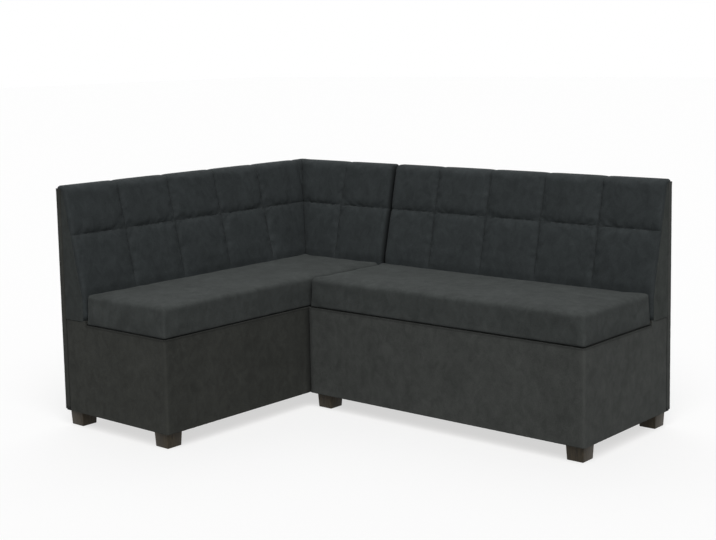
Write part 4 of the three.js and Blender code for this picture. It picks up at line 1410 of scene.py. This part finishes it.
def paint_hem_shade(obj, hem):
    """Marks painted shade along the hem's sewn edge and in the gathers at its top. hem is a place on that
    edge.
    """
    p = coordinates(obj)
    from_edge = np.hypot(p[:, 0] - hem[0], p[:, 1] - hem[1])
    at_top = near(REAR_CLOTH_HIGH - p[:, 2], HEM_TOP_SHADE) * (from_edge < HEM_WIDTH + HEM_SHADE)
    mark(obj, "crease", HEM_SHADE_SHARE * np.maximum(near(from_edge, HEM_SHADE), at_top))


def make_rear_cloth(name, corners, hem_at_start):
    """A thin cloth over the wall sides of one chest and its backs, with its folded hem on the free end."""
    corners = np.array(corners)
    points, way = path_points(corners)
    run = run_along(points)
    places = cloth_stations(run, hem_at_start)
    points, way = (np.column_stack([np.interp(places, run, v[:, k]) for k in (0, 1)]) for v in (points, way))
    way /= np.linalg.norm(way, axis=1)[:, None]
    from_hem = places if hem_at_start else run[-1] - places
    thick = REAR_CLOTH + HEM_BULGE * near(from_hem - HEM_BULGE_PLACE, HEM_BULGE_PLACE)
    thick *= np.clip(HEM_THIN_SHARE + from_hem / HEM_THIN, 0, 1)
    in_hem = from_hem < HEM_WIDTH
    sag_height, sag_length, sag_seed = REAR_CLOTH_SAG
    outer = []
    inner = []
    for z in np.linspace(REAR_CLOTH_LOW, REAR_CLOTH_HIGH, REAR_CLOTH_ROWS):
        base = np.column_stack([points, np.full(len(points), z)])
        sag = sag_height * (wander(base, sag_length, sag_seed) + SAG_SHARE)
        sag *= ease((from_hem - HEM_WIDTH) / SAG_FADE)
        gather = uneven(base * HEM_GATHER_SHARES, HEM_GATHER) * in_hem
        roll = ease(1 - (REAR_CLOTH_HIGH - z) / HEM_TOP_REACH) * in_hem * HEM_TOP_ROLL
        off = REAR_CLOTH_OFF + np.maximum(sag, 0) + roll
        inner.append(np.column_stack([points + way * off[:, None], base[:, 2]]))
        outer.append(np.column_stack([points + way * (off + thick + gather)[:, None], base[:, 2]]))
    obj = close_skins(name + "_rear_cloth", np.array(outer), np.array(inner))
    # Painted shade along the hem.
    paint_hem_shade(obj, corners[0] if hem_at_start else corners[-1])
    # The long rear cloth takes the copy of the base velour painted lighter.
    dress(obj, "frame", "base_fabric", finish="long_base_fabric" if name == "long" else "base_fabric")


def make_rear_cloths():
    end = SHORT_FREE_END - REAR_CLOTH_END
    corners = [(SHORT_JOIN - TOUCH, REAR_WALL), (SIDE_WALL, REAR_WALL), (SIDE_WALL, end)]
    make_rear_cloth("short", [*corners, (SIDE_WALL + HEM_WIDTH, end)], hem_at_start=False)
    end = LONG_FREE_END + REAR_CLOTH_END
    corners = [(end, REAR_WALL - HEM_WIDTH), (end, REAR_WALL), (LONG_JOIN + TOUCH, REAR_WALL)]
    make_rear_cloth("long", corners, hem_at_start=True)


# Feet.
def make_foot(node):
    """A tapered block with eased edges, in place of its solid."""
    corners = np.array([v.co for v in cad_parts[node].data.vertices])
    points = []
    for z in (corner.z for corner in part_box(node)):
        level = corners[abs(corners[:, 2] - z) < ON_SIDE]
        (x0, y0), (x1, y1) = level[:, :2].min(0), level[:, :2].max(0)
        points += [(x0, y0, z), (x1, y0, z), (x1, y1, z), (x0, y1, z)]
    faces = [(3, 2, 1, 0), (4, 5, 6, 7), (0, 1, 5, 4), (1, 2, 6, 5), (2, 3, 7, 6), (3, 0, 4, 7)]
    obj = new_object(node.replace("_foot_", "_block_foot_"), points, faces)
    bevel(obj, FOOT_BEVEL, 3)
    dress(obj, "frame", "foot_wood", [node])


def make_feet():
    for node in sorted(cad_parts):
        if "_foot_" in node:
            make_foot(node)


# The frame's own pieces keep their shape and get a finish.
def finish_frame():
    for name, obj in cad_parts.items():
        panel = "hardboard" if "_back_" in name else "chipboard"
        finishes = (
            ("plywood", ("lid_board", "lower_rail", "rib")),
            (panel, ("rear_panel", "front_panel")),
            ("chipboard", ("end_panel", "storage_floor", "ledge_board")),
            ("steel", ("hinge", "bolt")),
        )
        for finish, words in finishes:
            if any(word in name for word in words):
                obj.data.materials.clear()
                obj.data.materials.append(MATERIALS[finish])


# Camera, light and floor.
def make_camera():
    data = bpy.data.cameras.new("camera")
    data.lens = CAMERA_LENS
    data.shift_y = CAMERA_SHIFT
    data.clip_end = CAMERA_REACH
    obj = bpy.data.objects.new("camera", data)
    yaw, pitch, roll = (math.radians(angle) for angle in CAMERA_TURNS)
    place = Matrix.Translation(CAMERA_PLACE)
    for angle, axis in ((-yaw, "Z"), (math.pi / 2 + pitch, "X"), (roll, "Z")):
        place = place @ Matrix.Rotation(angle, 4, axis)
    obj.matrix_world = place
    bpy.context.scene.collection.objects.link(obj)
    bpy.context.scene.camera = obj


def make_lamps():
    for name, (strength, spread, way) in LAMPS.items():
        data = bpy.data.lights.new(name, "SUN")
        data.energy = strength
        data.angle = math.radians(spread)
        obj = bpy.data.objects.new(name, data)
        obj.rotation_euler = Vector(way).to_track_quat("-Z", "Y").to_euler()
        bpy.context.scene.collection.objects.link(obj)


def seen_directly(n):
    """A value of 1 on rays from the camera and on glossy and transmitted rays, and 0 on the rest."""
    value = n.add("LightPath", "Is Camera Ray", {})
    rays = value.node.outputs
    for name in ("Is Glossy Ray", "Is Transmission Ray"):
        value = n.add("Math", 0, {0: value, 1: rays[name]}, operation="MAXIMUM")
    return value


def between(n, share, low, high):
    """low where share is 0 and high where it is 1."""
    return n.add("MapRange", 0, {"Value": share, "To Min": low, "To Max": high})


def make_world():
    n = Nodes(bpy.data.worlds.new("studio"))
    bpy.context.scene.world = n.owner
    strength = between(n, seen_directly(n), SKY, 1)
    n.fill(n.tree.nodes["Background"], {"Color": (1, 1, 1, 1), "Strength": strength})


def make_floor():
    corners = ((-1, -1), (1, -1), (1, 1), (-1, 1))
    floor = new_object("floor", [(FLOOR_SIZE * x, FLOOR_SIZE * y, 0) for x, y in corners], [(0, 1, 2, 3)])
    n = Nodes(bpy.data.materials.new("white_floor"))
    n.tree.nodes.remove(n.tree.nodes["Principled BSDF"])
    seen = seen_directly(n)
    diffuse = n.add("BsdfDiffuse", 0, {"Color": between(n, seen, FLOOR_SHADE, FLOOR_SEEN)})
    glow = n.add("Emission", 0, {"Strength": FLOOR_GLOW})
    mix = n.add("MixShader", 0, {0: between(n, seen, 0, FLOOR_GLOW_SHARE), 1: diffuse, 2: glow})
    n.fill(n.tree.nodes["Material Output"], {"Surface": mix})
    floor.data.materials.append(n.owner)


make_camera()
make_lamps()
make_world()
make_floor()
finish_frame()
make_backs()
make_join_lining()
make_end_covers()
make_all_stitches()
make_seat("short")
make_seat("long")
make_lids()
make_chest_covers()
make_mouth_folds()
make_ledge_strips()
make_rear_cloths()
make_feet()
bpy.context.scene.view_settings.view_transform = "Standard"
